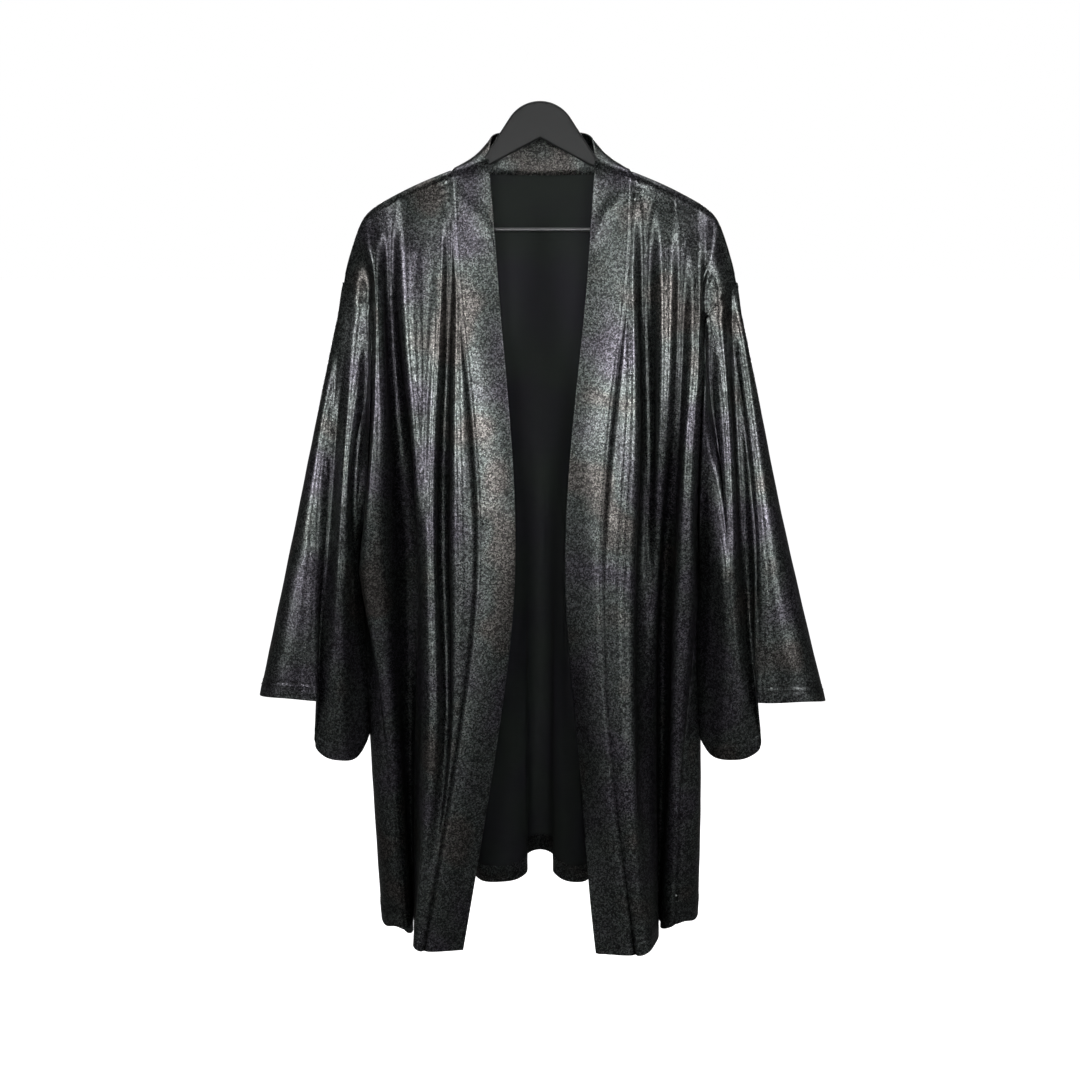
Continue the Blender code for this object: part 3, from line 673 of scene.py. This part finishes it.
def sleeve_grid(sign):
    """A sleeve round from the overarm over its front, from the armhole to the cuff."""
    coarse = [0.0]
    for i, n in enumerate(SLEEVE_STEPS):
        coarse.extend(i + (np.arange(n) + 1) / n)
    last = len(coarse) - 1
    at = np.interp(np.arange(last * SLEEVE_ROUND + 1) / SLEEVE_ROUND, np.arange(last + 1), coarse)
    armhole = np.vstack([armhole_line(sign, at), armhole_line(sign, at, back=True)[-2:0:-1]])
    fold_at = columns(SLEEVE, "column")[:, 0].astype(int) * SLEEVE_ROUND % len(armhole)
    cuff = columns(SLEEVE, "cuff", "cuff_y", "cuff_z")
    out = (cuff[:, :1] - cuff[:, 0].min()) / np.ptp(cuff[:, 0])
    near, far = columns(LEFT_SHIFT, "mid", "cuff", "cuff_z") * (sign > 0)
    shift = near + (far - near) * out
    cuff[:, [0, 2]] += shift[:, 1:]
    middle = columns(SLEEVE, "mid", "mid_y")
    middle[:, 0] += shift[:, 0]
    steps = np.diff([*fold_at, len(armhole)])
    cuff_loop = around(cuff * (sign, 1, 1), steps)
    fold = np.interp(np.arange(len(armhole)), [*fold_at, len(armhole)], np.arange(len(fold_at) + 1))
    fold = np.floor(fold) + ease(fold % 1, 0, 1)
    cuff_loop[:, 2] = np.interp(fold, np.arange(len(fold_at) + 1), [*cuff[:, 2], cuff[0, 2]])
    half_way = (armhole[:, 2] + cuff_loop[:, 2]) / 2
    middle_loop = np.column_stack([around(middle * (sign, 1), steps), half_way])
    low = np.clip((armhole[0, 2] - armhole[:, 2]) / np.ptp(armhole[:, 2]), 0, 1)[:, None]
    share = np.hstack([SLEEVE_NEAR + SLEEVE_EASE * low] * 2 + [SLEEVE_NEAR + 0 * low])
    upper = armhole + (middle_loop - armhole) * share
    stations = np.array([armhole, upper, middle_loop, cuff_loop])
    before_cuff = np.arange((SLEEVE_ROWS - 1) * SLEEVE_DOWN) / SLEEVE_DOWN
    rows = np.concatenate([before_cuff, SLEEVE_ROWS - 1 + np.linspace(0, 1, CUFF_DOWN + 1)])
    grid = smooth([0.0, SLEEVE_NEAR / 2, 0.5, 1.0], stations, rows / SLEEVE_ROWS)
    heights = grid[:, :, 2]
    least = body_reach(sign, heights) + np.interp(heights, SLEEVE_CLEAR_Z, SLEEVE_CLEAR)
    spare = sign * grid[:, :, 0] - least
    clear = sign * (least + (spare + np.hypot(spare, SLEEVE_SOFT)) / 2)
    begin = np.clip(rows, 0, 1)[:, None]
    grid[:, :, 0] += begin * (clear - grid[:, :, 0])
    return grid


def body_reach(sign, heights):
    """How far the body's side reaches out from the centre about these heights."""
    lines = back_lines(sign)[:3] + front_lines(sign)[-2:-1]
    reach = [
        np.max([np.interp(-heights - step, -line[:, 2], np.abs(line[:, 0])) for line in lines], axis=0)
        for step in SLEEVE_LEVELS
    ]
    return np.mean(reach, axis=0)


def around(points, steps):
    """A closed section through the folds, with so many steps from each to the next."""
    wrapped = np.vstack([points[-LOOP_LEAD:], points, points[: LOOP_LEAD + 1]])
    knots = chords(wrapped[:, :2])
    at = []
    for i, n in enumerate(steps, start=LOOP_LEAD):
        at.extend(knots[i] + (knots[i + 1] - knots[i]) * np.arange(n) / n)
    return smooth(knots, wrapped, at)


def band_grid(seam_right, seam_neck, seam_left):
    """The band from the right hem round the neck to the left hem, from its seam to its fold."""
    reach = []
    for sign, seam in ((-1, seam_right), (1, seam_left)):
        depths = -columns(BAND[sign], "z")[:, 0]
        ways = smooth(depths, columns(BAND[sign], "inward", "back", "up"), -seam[:, 2])
        reach.append(ways * (-sign, 1, 1))
    neck = []
    shares_in = columns(BAND_NECK, "share")[:, 0]
    reach_in = columns(BAND_NECK, "inward", "back", "up")
    for point in seam_neck[1:-1]:
        sign = -1 if point[0] < 0 else 1
        share_in = 1 - abs(point[0]) / NECK_X[sign]
        neck.append(smooth(shares_in, reach_in, [share_in])[0] * (-sign, 1, 1))
    seam = np.vstack([seam_right[::-1], seam_neck[1:-1], seam_left])
    ways = np.vstack([reach[0][::-1], neck, reach[1]])
    ways *= BAND_WIDTH / np.linalg.norm(ways, axis=1, keepdims=True)
    return seam[:, None] + ways[:, None] * BAND_SHARES[None, :, None]


def slopes(grid, closed=False):
    """Outward directions of a grid whose columns run clockwise from above."""
    down = np.gradient(grid, axis=0)
    if closed:
        along = np.roll(grid, -1, axis=1) - np.roll(grid, 1, axis=1)
    else:
        along = np.gradient(grid, axis=1)
    return unit(np.cross(along, down))


def from_edge(grid, axis, last=False):
    """Distances along the cloth from the grid's first or last row or column."""
    lines = np.flip(grid, axis) if last else grid
    steps = np.linalg.norm(np.diff(lines, axis=axis), axis=2)
    start = np.zeros_like(np.take(steps, [0], axis))
    far = np.cumsum(np.concatenate([start, steps], axis), axis)
    return np.flip(far, axis) if last else far


def soft(distance, width):
    return np.exp(-((distance / width) ** 2))


def ease(value, start, end):
    """A smooth rise from 0 at start to 1 at end."""
    share = np.clip((value - start) / (end - start), 0, 1)
    return share * share * (3 - 2 * share)


def creased(grid, normals, creases, side):
    """How far the creases raise or press each point of the cloth that faces that side."""
    total = np.zeros(grid.shape[:2])
    for crease in creases:
        start = np.array([crease["x0"], crease["z0"]], float)
        way = np.array([crease["x1"], crease["z1"]], float) - start
        length = np.linalg.norm(way)
        along = way / length
        place = grid[..., [0, 2]] - start
        share = np.clip(place @ along / length, 0, 1)
        off = place @ np.array([-along[1], along[0]]) - 4 * crease["bow"] * share * (1 - share)
        total += crease["raise"] * soft(off, crease["width"]) * np.sin(np.pi * share)
    return total * np.clip(side * normals[..., 1], 0, 1)


def rippled(along, down):
    """The jersey's small unevenness."""
    waves = [
        wave["height"] * np.sin(2 * np.pi * (along / wave["along"] + down / wave["down"]) + wave["phase"])
        for wave in RIPPLES
    ]
    return sum(waves)


def evened(lines, wide, closed=False):
    """Lines of points with all that is narrower than this smoothed away."""
    reach = int(SPREAD * wide / FOLD_STEP)
    weights = soft(np.arange(-reach, reach + 1) * FOLD_STEP, wide)
    weights /= weights.sum()
    mean = np.empty_like(lines)
    for i, line in enumerate(lines):
        whole = np.vstack([line, line[:1]]) if closed else line
        length = chords(whole)
        even = np.arange(0, length[-1] + FOLD_STEP, FOLD_STEP)
        for k in range(3):
            points = np.interp(even, length, whole[:, k])
            if closed:
                padded = np.concatenate([points[-reach - 1 : -1], points, points[1 : reach + 1]])
            else:
                padded = np.pad(points, reach, "reflect", reflect_type="odd")
            mean[i, :, k] = np.interp(length[: len(line)], even, np.convolve(padded, weights, "valid"))
    return mean


def fold_heights(grid, closed=False):
    """How far each point stands out from the cloth round it: crests above nought, grooves below."""
    mean = evened(evened(grid, FOLD_WIDE, closed).transpose(1, 0, 2), FOLD_WIDE).transpose(1, 0, 2)
    return ((grid - mean) * slopes(grid, closed)).sum(axis=2)


def softened(grid, closed=False):
    """The cloth with its folds' edges rounded, but for the stretch next to its upper seam."""
    share = ease(from_edge(grid, 0), *SOFT_FROM)[..., None]
    return grid + share * (evened(grid, SOFT_WIDE, closed) - grid)


def doubled(far, deep):
    """Where a hem doubles the cloth: one below its stitches, nought above them."""
    return 1 - ease(far, deep + HEM_EDGE[0], deep + HEM_EDGE[1])


def hemmed(far, deep, along):
    """A turned-up hem: a second layer below stitches that pucker the cloth."""
    double = HEM_RAISE * doubled(far, deep)
    pucker = 1 + HEM_PUCKER * np.sin(2 * np.pi * along / PUCKER + np.sin(along / HEM_DRIFT))
    pinch = HEM_PINCH * (soft(far - deep, PINCH_WIDE) + TWIN_PINCH * soft(far - deep + TWIN, PINCH_WIDE))
    swell = HEM_SWELL * soft(far - deep / 2, deep / 4)
    return double + swell - pinch * pucker


def puckered(far, along, reach):
    """Small gathers that a sewn edge draws into the cloth beside it."""
    drift = sum(wave["swing"] * np.sin(along / wave["length"]) for wave in PUCKER_DRIFT)
    gathers = SEAM_PUCKER * np.sin(2 * np.pi * along / PUCKER + drift)
    spells = PUCKER_EVEN + (1 - PUCKER_EVEN) * np.sin(along / PUCKER_SPELL)
    return gathers * spells * soft(far, reach)


def shown(edge):
    """How much the seam at these points of an edge shows: an armhole's fades towards the shoulder."""
    outer = np.abs(edge[..., 0]) > ARMHOLE_LEAST
    return 1 - ARMHOLE_FAINT * outer * ease(edge[..., 2], *ARMHOLE_TOP)


def seam_shade_lines(*seams):
    """Painted shade along seam grooves and hem stitches at these distances, as far as each seam shows."""
    return SEAM_SHADE * np.clip(sum(share * soft(far, SEAM_FINE) for far, share in seams), 0, 1)


def carried(grid, normals):
    """A grid with its side edges carried a little under the pieces sewn to them."""
    right = grid[:, :1] + EDGE_ON * unit(grid[:, :1] - grid[:, 1:2]) - EDGE_UNDER * normals[:, :1]
    left = grid[:, -1:] + EDGE_ON * unit(grid[:, -1:] - grid[:, -2:-1]) - EDGE_UNDER * normals[:, -1:]
    return np.concatenate([right, grid, left], axis=1)


def armhole_sunk(edge, far):
    """The hollow down each armhole seam, at points this far from its edge."""
    deep = ARMHOLE_SINK * ease(np.abs(edge[..., 1]), *ARMHOLE_DEPTH) * ease(edge[..., 2], *ARMHOLE_END)
    deep = deep * shown(edge)
    return -np.sign(edge[..., 1]) * deep * soft(far, ARMHOLE_WIDE)


def sewn(far):
    """The roll of the cloth into a seam."""
    return -SEAM_SINK * soft(far, SEAM_WIDE)


def material(name, **values):
    """A material with the values of its shader's inputs."""
    made = bpy.data.materials.new(name)
    made.use_nodes = True
    for key, value in values.items():
        sockets(made)[key.replace("_", " ").title()].default_value = value
    return made


def sockets(made):
    """The inputs of a material's shader."""
    return made.node_tree.nodes["Principled BSDF"].inputs


def node(tree, kind, values=None, **settings):
    """A node with its settings, and its inputs set or linked from other nodes."""
    made = tree.nodes.new(kind)
    for key, value in settings.items():
        setattr(made, key, value)
    for key, value in (values or {}).items():
        if isinstance(value, bpy.types.NodeSocket):
            tree.links.new(value, made.inputs[key])
        else:
            made.inputs[key].default_value = value
    return made


def ramp(tree, value, stops):
    """A colour ramp through stops of a place and a colour or a grey."""
    made = node(tree, "ShaderNodeValToRGB", {"Fac": value})
    points = made.color_ramp.elements
    for place, _ in stops[len(points) :]:
        points.new(place)
    for point, (place, colour) in zip(points, stops):
        point.position = place
        point.color = (*colour, 1) if isinstance(colour, tuple) else (colour, colour, colour, 1)
    return made.outputs["Color"]


def noise(tree, place, scale, detail, roughness=0.5):
    """Random greys over the cloth."""
    values = {"Vector": place, "Scale": scale, "Detail": detail, "Roughness": roughness}
    return node(tree, "ShaderNodeTexNoise", values).outputs["Fac"]


def foil_jersey():
    """Black jersey under a film of foil that has cracked into fine bright flakes."""
    made = material("foil_jersey_cloth", metallic=0.9)
    tree = made.node_tree
    place = node(tree, "ShaderNodeTexCoord").outputs["Object"]
    flaked = {"Vector": place, "Scale": FLAKES, "Randomness": 1.0}
    cells = node(tree, "ShaderNodeTexVoronoi", flaked)
    cracks = node(tree, "ShaderNodeTexVoronoi", flaked, feature="DISTANCE_TO_EDGE")
    grain = noise(tree, place, GRAIN, 3.0, roughness=0.6)
    grey = node(tree, "ShaderNodeRGBToBW", {"Color": cells.outputs["Color"]}).outputs["Val"]
    flakes = ramp(tree, grey, FLAKE_TONES)
    gaps = ramp(tree, cracks.outputs["Distance"], CRACK_TONES)
    speckle = ramp(tree, grain, GRAIN_TONES)
    worn = ramp(tree, noise(tree, place, WEAR, 2.0), WEAR_TONES)
    hues = ramp(tree, noise(tree, place, TINTS, 1.0), FOIL_HUES)
    # Painted shade in the folds' grooves and along the seams, painted highlight on the crests
    fold = node(tree, "ShaderNodeAttribute", attribute_name="fold").outputs["Fac"]
    fold_shade = ramp(tree, fold, FOLD_SHADE_TONES)
    colour = flakes
    for layer in (gaps, speckle, worn, hues, fold_shade):
        both = {"Factor": 1.0, "A": colour, "B": layer}
        mixed = node(tree, "ShaderNodeMix", both, data_type="RGBA", blend_type="MULTIPLY")
        colour = mixed.outputs["Result"]
    tree.links.new(colour, sockets(made)["Base Color"])
    rough = ramp(tree, grain, FOIL_ROUGHNESS)
    tree.links.new(rough, sockets(made)["Roughness"])
    edges = {"Strength": 0.15, "Distance": 0.0004, "Height": cells.outputs["Distance"]}
    bump = node(tree, "ShaderNodeBump", edges)
    tree.links.new(bump.outputs["Normal"], sockets(made)["Normal"])
    return made


def wrong_side():
    """The jersey's matte inside."""
    made = material("jersey_inside", roughness=0.85)
    tree = made.node_tree
    place = node(tree, "ShaderNodeTexCoord").outputs["Object"]
    hues = ramp(tree, noise(tree, place, TINTS, 1.0), INSIDE_HUES)
    tree.links.new(hues, sockets(made)["Base Color"])
    loops = {"Strength": 0.2, "Distance": 0.0003, "Height": noise(tree, place, GRAIN, 2.0)}
    bump = node(tree, "ShaderNodeBump", loops)
    tree.links.new(bump.outputs["Normal"], sockets(made)["Normal"])
    return made


def linked(name, data):
    """A new object in the scene."""
    obj = bpy.data.objects.new(name, data)
    bpy.context.scene.collection.objects.link(obj)
    return obj


def add_mesh(name, points, faces, materials, sharp):
    """An object from points in millimetres."""
    mesh = bpy.data.meshes.new(name)
    mesh.from_pydata((points * MM).tolist(), [], [[int(i) for i in face] for face in faces])
    for one in materials:
        mesh.materials.append(one)
    mesh.shade_smooth()
    mesh.set_sharp_from_angle(angle=sharp)
    return linked(name, mesh)


def shell(name, outer, inner, materials, seam_shade, closed=False, turn_up=0.0, crest=1.0):
    """A thin shell between two grids: the right side and the rims first, then the wrong side.

    Each point keeps how far it stands out on a fold, from nought in a groove to one on a crest,
    less the seams' painted shade; the foil turns it into painted shade and painted highlight.
    """
    rows, cols = outer.shape[:2]
    points = np.concatenate([outer.reshape(-1, 3), inner.reshape(-1, 3)])
    index = np.arange(rows * cols).reshape(rows, cols)
    if closed:
        index = closed_up(index)
    corners = (index[:-1, :-1], index[:-1, 1:], index[1:, 1:], index[1:, :-1])
    cloth = np.stack([corner.ravel() for corner in corners], axis=1)
    behind = rows * cols
    rim_lines = [index[0], index[-1][::-1]]
    if not closed:
        rim_lines += [index[:, 0][::-1], index[:, -1]]
    rims = [
        np.stack([line[:-1], line[:-1] + behind, line[1:] + behind, line[1:]], axis=1)
        for line in rim_lines
    ]
    faces = np.vstack([cloth, *rims, cloth[:, ::-1] + behind])
    obj = add_mesh(name, points, faces, materials, SHARP)
    inside = np.zeros(len(faces), int)
    far = from_edge(inner, 0, last=True)[:-1]
    within = far if closed else far[:, :-1]
    inside[-len(cloth) :] = np.where(within.ravel() > turn_up, len(materials) - 1, 0)
    obj.data.polygons.foreach_set("material_index", inside)
    # Painted shade in the grooves and along the seams, painted highlight on the crests; the inner points
    # take the reverse
    heights = fold_heights(outer, closed) / (2 * FOLD_DEEP)
    folds = np.clip(MID_TONE + np.where(heights > 0, crest, 1) * heights - seam_shade, 0, 1).ravel()
    obj.data.attributes.new("fold", "FLOAT", "POINT").data.foreach_set(
        "value", np.concatenate([folds, 1 - folds])
    )
    return obj


def level(grid, far, distance):
    """The line across the cloth at this distance from its last row."""
    lines = zip(far[::-1].T, grid[::-1].transpose(1, 0, 2))
    return np.array([on_line(distance, places, line) for places, line in lines])


def add_thread(name, lines, thread):
    """Stitches along lines of points, each line with its outward directions."""
    points, faces = [], []
    turns = np.arange(STITCH_SIDES) * 2 * np.pi / STITCH_SIDES
    for line, out in lines:
        places = chords(line)
        for start in np.arange(STITCH_PITCH, places[-1] - STITCH_PITCH, STITCH_PITCH):
            ends = [on_line(start + step, places, line) for step in (0, STITCH_LENGTH)]
            up = unit(on_line(start, places, out))
            way = unit(ends[1] - ends[0])
            side = unit(np.cross(up, way))
            first = len(points)
            points.append(ends[0])
            for share in STITCH_ENDS:
                middle = ends[0] + (ends[1] - ends[0]) * share + up * STITCH_RADIUS
                for turned in turns:
                    out_by = side * math.cos(turned) + up * math.sin(turned)
                    points.append(middle + STITCH_RADIUS * out_by)
            points.append(ends[1])
            one, two = first + 1, first + 1 + STITCH_SIDES
            for k in range(STITCH_SIDES):
                n = (k + 1) % STITCH_SIDES
                faces.append((first, one + n, one + k))
                faces.append((one + k, one + n, two + n, two + k))
                faces.append((two + k, two + n, two + STITCH_SIDES))
    obj = add_mesh(name, np.array(points), faces, [thread], math.pi)
    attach(obj, "root")
    return obj


def declare(obj, node_name, grid, closed=False):
    """Attaches a piece of cloth to the root and hides its solid; works out its flat size, unused."""
    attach(obj, "root")
    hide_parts(node_name)
    wide = from_edge(closed_up(grid) if closed else grid, 1)[:, -1].max()
    long = from_edge(grid, 0)[-1].max()


def hem_lines(grid, normals, deep, closed=False):
    """The two lines of stitches above a hem, with the cloth's directions there."""
    if closed:
        grid, normals = closed_up(grid), closed_up(normals)
    far = from_edge(grid, 0, last=True)
    return [(level(grid, far, at), level(normals, far, at)) for at in (deep, deep - TWIN)]


def thickness(far, deep):
    """The cloth's thickness at these distances from its hem's edge."""
    return LAYER + (HEM_LAYER - LAYER) * doubled(far, deep)


def add_panel(name, grid, creases, side, foil, inside, thread):
    """A front or the back with its seams, folds, creases and hem."""
    normals = slopes(grid)
    along, down = from_edge(grid, 1), from_edge(grid, 0)
    far = from_edge(grid, 0, last=True)
    relief = creased(grid, normals, creases, side) + rippled(along, down) + hemmed(far, BODY_HEM, along)
    edges = ((0, along), (-1, from_edge(grid, 1, last=True)))
    for i, edge in edges:
        gathers = puckered(edge, down, PUCKER_REACH["panel"])
        relief += shown(grid[:, i])[:, None] * (sewn(edge) + gathers)
    relief = relief * ease(down, 0, TOP_FLAT) + sewn(down)
    outer = grid + relief[..., None] * normals
    for i, edge in edges:
        if np.abs(grid[len(ARM_FINE) // 2, i, 0]) > ARMHOLE_LEAST:
            outer[..., 1] += armhole_sunk(grid[:, i][:, None], edge)
    stitches = add_thread(name + "_hem_stitches", hem_lines(outer, slopes(outer), BODY_HEM), thread)
    outer = carried(outer, slopes(outer))
    far = from_edge(outer, 0, last=True)
    inner = outer - thickness(far, BODY_HEM)[..., None] * slopes(outer)
    # Painted shade along the seams and the hem's two stitch lines
    seam_shade = seam_shade_lines(
        (from_edge(outer, 1) - EDGE_ON, shown(grid[:, 0])[:, None]),
        (from_edge(outer, 1, last=True) - EDGE_ON, shown(grid[:, -1])[:, None]),
        (far - BODY_HEM, 1),
        (far - BODY_HEM + TWIN, 1),
    )
    obj = shell(name + "_cloth", outer, inner, [foil, inside], seam_shade, turn_up=BODY_HEM)
    declare(obj, name, outer)


def add_sleeve(name, grid, creases, foil, inside, thread):
    """A sleeve with its armhole seam, folds, creases and cuff."""
    normals = slopes(grid, closed=True)
    along, down = from_edge(grid, 1), from_edge(grid, 0)
    far = from_edge(grid, 0, last=True)
    relief = creased(grid, normals, creases, -1) + creased(grid, normals, creases, 1)
    relief += rippled(along, down) * ease(down, 0, TOP_FLAT) + hemmed(far, SLEEVE_HEM, along)
    gathers = puckered(down, along, PUCKER_REACH["sleeve"]) * ease(down, 0, PUCKER_START)
    relief += shown(grid[:1]) * (gathers + sewn(down))
    outer = grid + relief[..., None] * normals
    outer[..., 1] += armhole_sunk(grid[:1], down)
    turned = slopes(outer, closed=True)
    inner = outer - thickness(far, SLEEVE_HEM)[..., None] * turned
    # Painted shade along the armhole seam and the cuff's two stitch lines
    seam_shade = seam_shade_lines((down, shown(grid[:1])), (far - SLEEVE_HEM, 1), (far - SLEEVE_HEM + TWIN, 1))
    obj = shell(name + "_cloth", outer, inner, [foil, inside], seam_shade, True, SLEEVE_HEM, SLEEVE_CREST_HIGHLIGHT)
    lines = hem_lines(outer, turned, SLEEVE_HEM, closed=True)
    stitches = add_thread(name + "_hem_stitches", lines, thread)
    declare(obj, name, outer, closed=True)


def add_band(grid, foil):
    """The folded double band, puffed between its seam and its rounded fold."""
    eased = evened(grid.transpose(1, 0, 2), BAND_SOFT).transpose(1, 0, 2)
    share = np.clip(BAND_SHARES, 0, 1)[None, :]
    grid = grid + share[..., None] * (eased - grid)
    normals = slopes(grid)
    along = from_edge(grid, 0)
    tucked = BAND_SHARES[None, :] < 0
    relief = creased(grid, normals, BAND_CREASES, -1) * np.sqrt(np.sin(np.pi * share))
    from_seam = share * BAND_WIDTH
    rise = (1 - np.exp(-from_seam / BAND_RISE)) * (1 - share**2)
    puff = np.interp(grid[..., 2], BAND_PUFF_Z, BAND_PUFF)
    relief = relief + puff * rise + rippled(from_seam, along) * share - BAND_TUCK * tucked
    gathers = puckered(from_seam, along, PUCKER_REACH["band"])
    seam = sewn(from_seam) + gathers * np.minimum(1, BAND_PUCKER_RISE * share)
    fold = np.clip((share - 1) * BAND_WIDTH / (BAND_LAYER / 2) + 1, 0, 1)
    half = BAND_LAYER / 2 * np.sqrt(1 - fold**2)
    outer = grid + (relief + seam + half - BAND_LAYER / 2)[..., None] * normals
    inner = grid + (relief - half - BAND_LAYER / 2)[..., None] * normals
    # Painted shade along the band's seam
    obj = shell("neck_band_cloth", outer, inner, [foil], seam_shade_lines((from_seam, 1)))
    declare(obj, "neck_band", outer)


def under_arm(x):
    """A point on the slanting underside of the hanger's arm."""
    return x, GABLE_Z - GABLE_SLOPE * x


def hanger_half():
    """Half of the hanger's outline from the top of its head round to the gable."""
    angles = np.linspace(0, HEAD_FLANK, HEAD_POINTS)
    head = [(HEAD_RADIUS * math.sin(a), HEAD_RADIUS * (math.cos(a) - 1)) for a in angles]
    top = on_shoulder(np.linspace(SHOULDER[0]["x"], ARM_END - ARM_TIP, ARM_POINTS))
    arm_slope = (top[1, 1] - top[0, 1]) / (top[1, 0] - top[0, 0])
    flank_x, flank_z = head[-1]
    fall = -math.tan(HEAD_FLANK)
    rest = top[0, 1] - ARM_REST
    meet = (rest - arm_slope * top[0, 0] - flank_z + fall * flank_x) / (fall - arm_slope)
    corner = (meet, flank_z + fall * (meet - flank_x))
    arm = [corner] + [(x, z - ARM_REST) for x, z in top] + [(ARM_END, top[-1, 1] - ARM_REST - ARM_TIP)]
    near, far = LUG_X
    lug = [under_arm(far), (far, LUG_Z), (near, LUG_Z), under_arm(near)]
    return head + arm + [under_arm(ARM_END)] + lug + [under_arm(0.0)]


def add_solid(name, solid, made):
    """A smooth object of one material from an edited solid."""
    mesh = bpy.data.meshes.new(name)
    solid.to_mesh(mesh)
    solid.free()
    mesh.shade_smooth()
    mesh.materials.append(made)
    return linked(name, mesh)


def add_hanger():
    """The flat hanger with its rounded edges."""
    half = hanger_half()
    outline = half + [(-x, z) for x, z in half[-2:0:-1]]
    solid = bmesh.new()
    front = -HANGER_THICK / 2 * MM
    face = solid.faces.new([solid.verts.new((x * MM, front, z * MM)) for x, z in outline])
    made = bmesh.ops.extrude_face_region(solid, geom=[face])
    moved = [v for v in made["geom"] if isinstance(v, bmesh.types.BMVert)]
    bmesh.ops.translate(solid, verts=moved, vec=Vector((0, HANGER_THICK * MM, 0)))
    bmesh.ops.recalc_face_normals(solid, faces=solid.faces)
    satin = material("satin_plastic", roughness=0.5, base_color=PLASTIC)
    hanger = add_solid("hanger_body", solid, satin)
    bevel = hanger.modifiers.new("rounded_edges", "BEVEL")
    bevel.width = HANGER_EDGE * MM
    bevel.segments = EDGE_STEPS
    bevel.limit_method = "ANGLE"
    bevel.angle_limit = SHARP
    bevel.harden_normals = True
    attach(hanger, "root")
    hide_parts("hanger")


def add_bar():
    """The round bar between the hanger's lugs."""
    rod = bmesh.new()
    bmesh.ops.create_cone(
        rod,
        cap_ends=True,
        segments=ROD_SIDES,
        radius1=BAR_RADIUS * MM,
        radius2=BAR_RADIUS * MM,
        depth=2 * BAR_END * MM,
        matrix=Matrix.Translation((0, 0, BAR_Z * MM)) @ Matrix.Rotation(math.pi / 2, 4, "Y"),
    )
    metal = material("brushed_bar", roughness=0.32, metallic=0.9, base_color=STEEL)
    bar = add_solid("trouser_bar", rod, metal)
    bar.data.set_sharp_from_angle(angle=SHARP)
    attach(bar, "root")
    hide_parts("hanger_bar")


def add_robe():
    """The six cut pieces of the robe, each in its place."""
    foil = foil_jersey()
    inside = wrong_side()
    thread = material("hem_thread", roughness=0.6, base_color=THREAD)
    fronts = {sign: softened(front_grid(sign)) for sign in (-1, 1)}
    back = softened(back_grid())
    behind = np.flatnonzero(back[0, :, 1] > BEHIND)
    neck = slice(behind[0] - 1, behind[-1] + 2)
    band = band_grid(fronts[-1][:, 0], back[0, neck], fronts[1][:, 0])
    cloths = (foil, inside, thread)
    beside = ARMHOLE_CREASES
    add_panel("back", back, BACK_CREASES + beside[-1] + beside[1], 1, *cloths)
    add_panel("front_right", fronts[-1], FRONT_CREASES[-1] + beside[-1], -1, *cloths)
    add_panel("front_left", fronts[1][:, ::-1], FRONT_CREASES[1] + beside[1], -1, *cloths)
    sleeves = {sign: softened(sleeve_grid(sign), closed=True) for sign in (-1, 1)}
    right = np.roll(sleeves[-1][:, ::-1], 1, axis=1)
    add_sleeve("sleeve_right", right, SLEEVE_CREASES[-1] + beside[-1], *cloths)
    add_sleeve("sleeve_left", sleeves[1], SLEEVE_CREASES[1] + beside[1], *cloths)
    add_band(band, foil)


def add_softbox(name, box, sign):
    """A rectangle of light on that side of the robe."""
    light = bpy.data.lights.new(name, "AREA")
    light.shape = "RECTANGLE"
    light.size, light.size_y = box["wide"], box["tall"]
    light.spread = math.radians(box["spread"])
    light.energy = box["watts"]
    obj = linked(name, light)
    obj.location = (sign * box["x"], box["y"], box["z"])
    way = Vector((sign * box["aim_x"], 0, box["aim_z"])) - obj.location
    obj.rotation_euler = way.to_track_quat("-Z", "Y").to_euler()


def add_studio():
    """A white room with its softboxes, its floor and the camera."""
    world = bpy.data.worlds.new("white_room")
    world.use_nodes = True
    tree = world.node_tree
    dim = tree.nodes["Background"]
    dim.inputs["Color"].default_value = WHITE
    dim.inputs["Strength"].default_value = ROOM_LIGHT
    white = node(tree, "ShaderNodeBackground", {"Color": WHITE, "Strength": 1.0})
    seen = node(tree, "ShaderNodeLightPath").outputs["Is Camera Ray"]
    both = node(tree, "ShaderNodeMixShader", {"Fac": seen})
    tree.links.new(dim.outputs["Background"], both.inputs[1])
    tree.links.new(white.outputs["Background"], both.inputs[2])
    tree.links.new(both.outputs["Shader"], tree.nodes["World Output"].inputs["Surface"])
    bpy.context.scene.world = world
    for pair in SOFTBOX_PAIRS:
        for sign, side in ((-1, "right_"), (1, "left_")):
            add_softbox(side + pair["name"], pair, sign)
    add_softbox(TOP_SOFTBOX["name"], TOP_SOFTBOX, 1)
    add_floor()
    add_camera()


def add_floor():
    """A plain pale floor that shines as white as the room."""
    pale = material(
        "pale_floor", roughness=0.9, base_color=PALE, emission_color=WHITE, emission_strength=1.0
    )
    signs = ((-1, -1), (1, -1), (1, 1), (-1, 1))
    corners = [(x * FLOOR_REACH, y * FLOOR_REACH, FLOOR_Z) for x, y in signs]
    mesh = bpy.data.meshes.new("floor")
    mesh.from_pydata(corners, [], [(0, 1, 2, 3)])
    mesh.materials.append(pale)
    floor = linked("floor", mesh)
    floor.visible_diffuse = False
    floor.visible_glossy = False


def add_camera():
    """The camera at the picture's angle."""
    camera = linked("camera", bpy.data.cameras.new("camera"))
    camera.location = CAMERA_AT
    camera.rotation_euler = (math.pi / 2 - CAMERA_TILT, 0, 0)
    camera.data.lens = CAMERA_LENS
    bpy.context.scene.camera = camera
    bpy.context.scene.view_settings.view_transform = "Standard"


add_hanger()
add_bar()
add_robe()
add_studio()
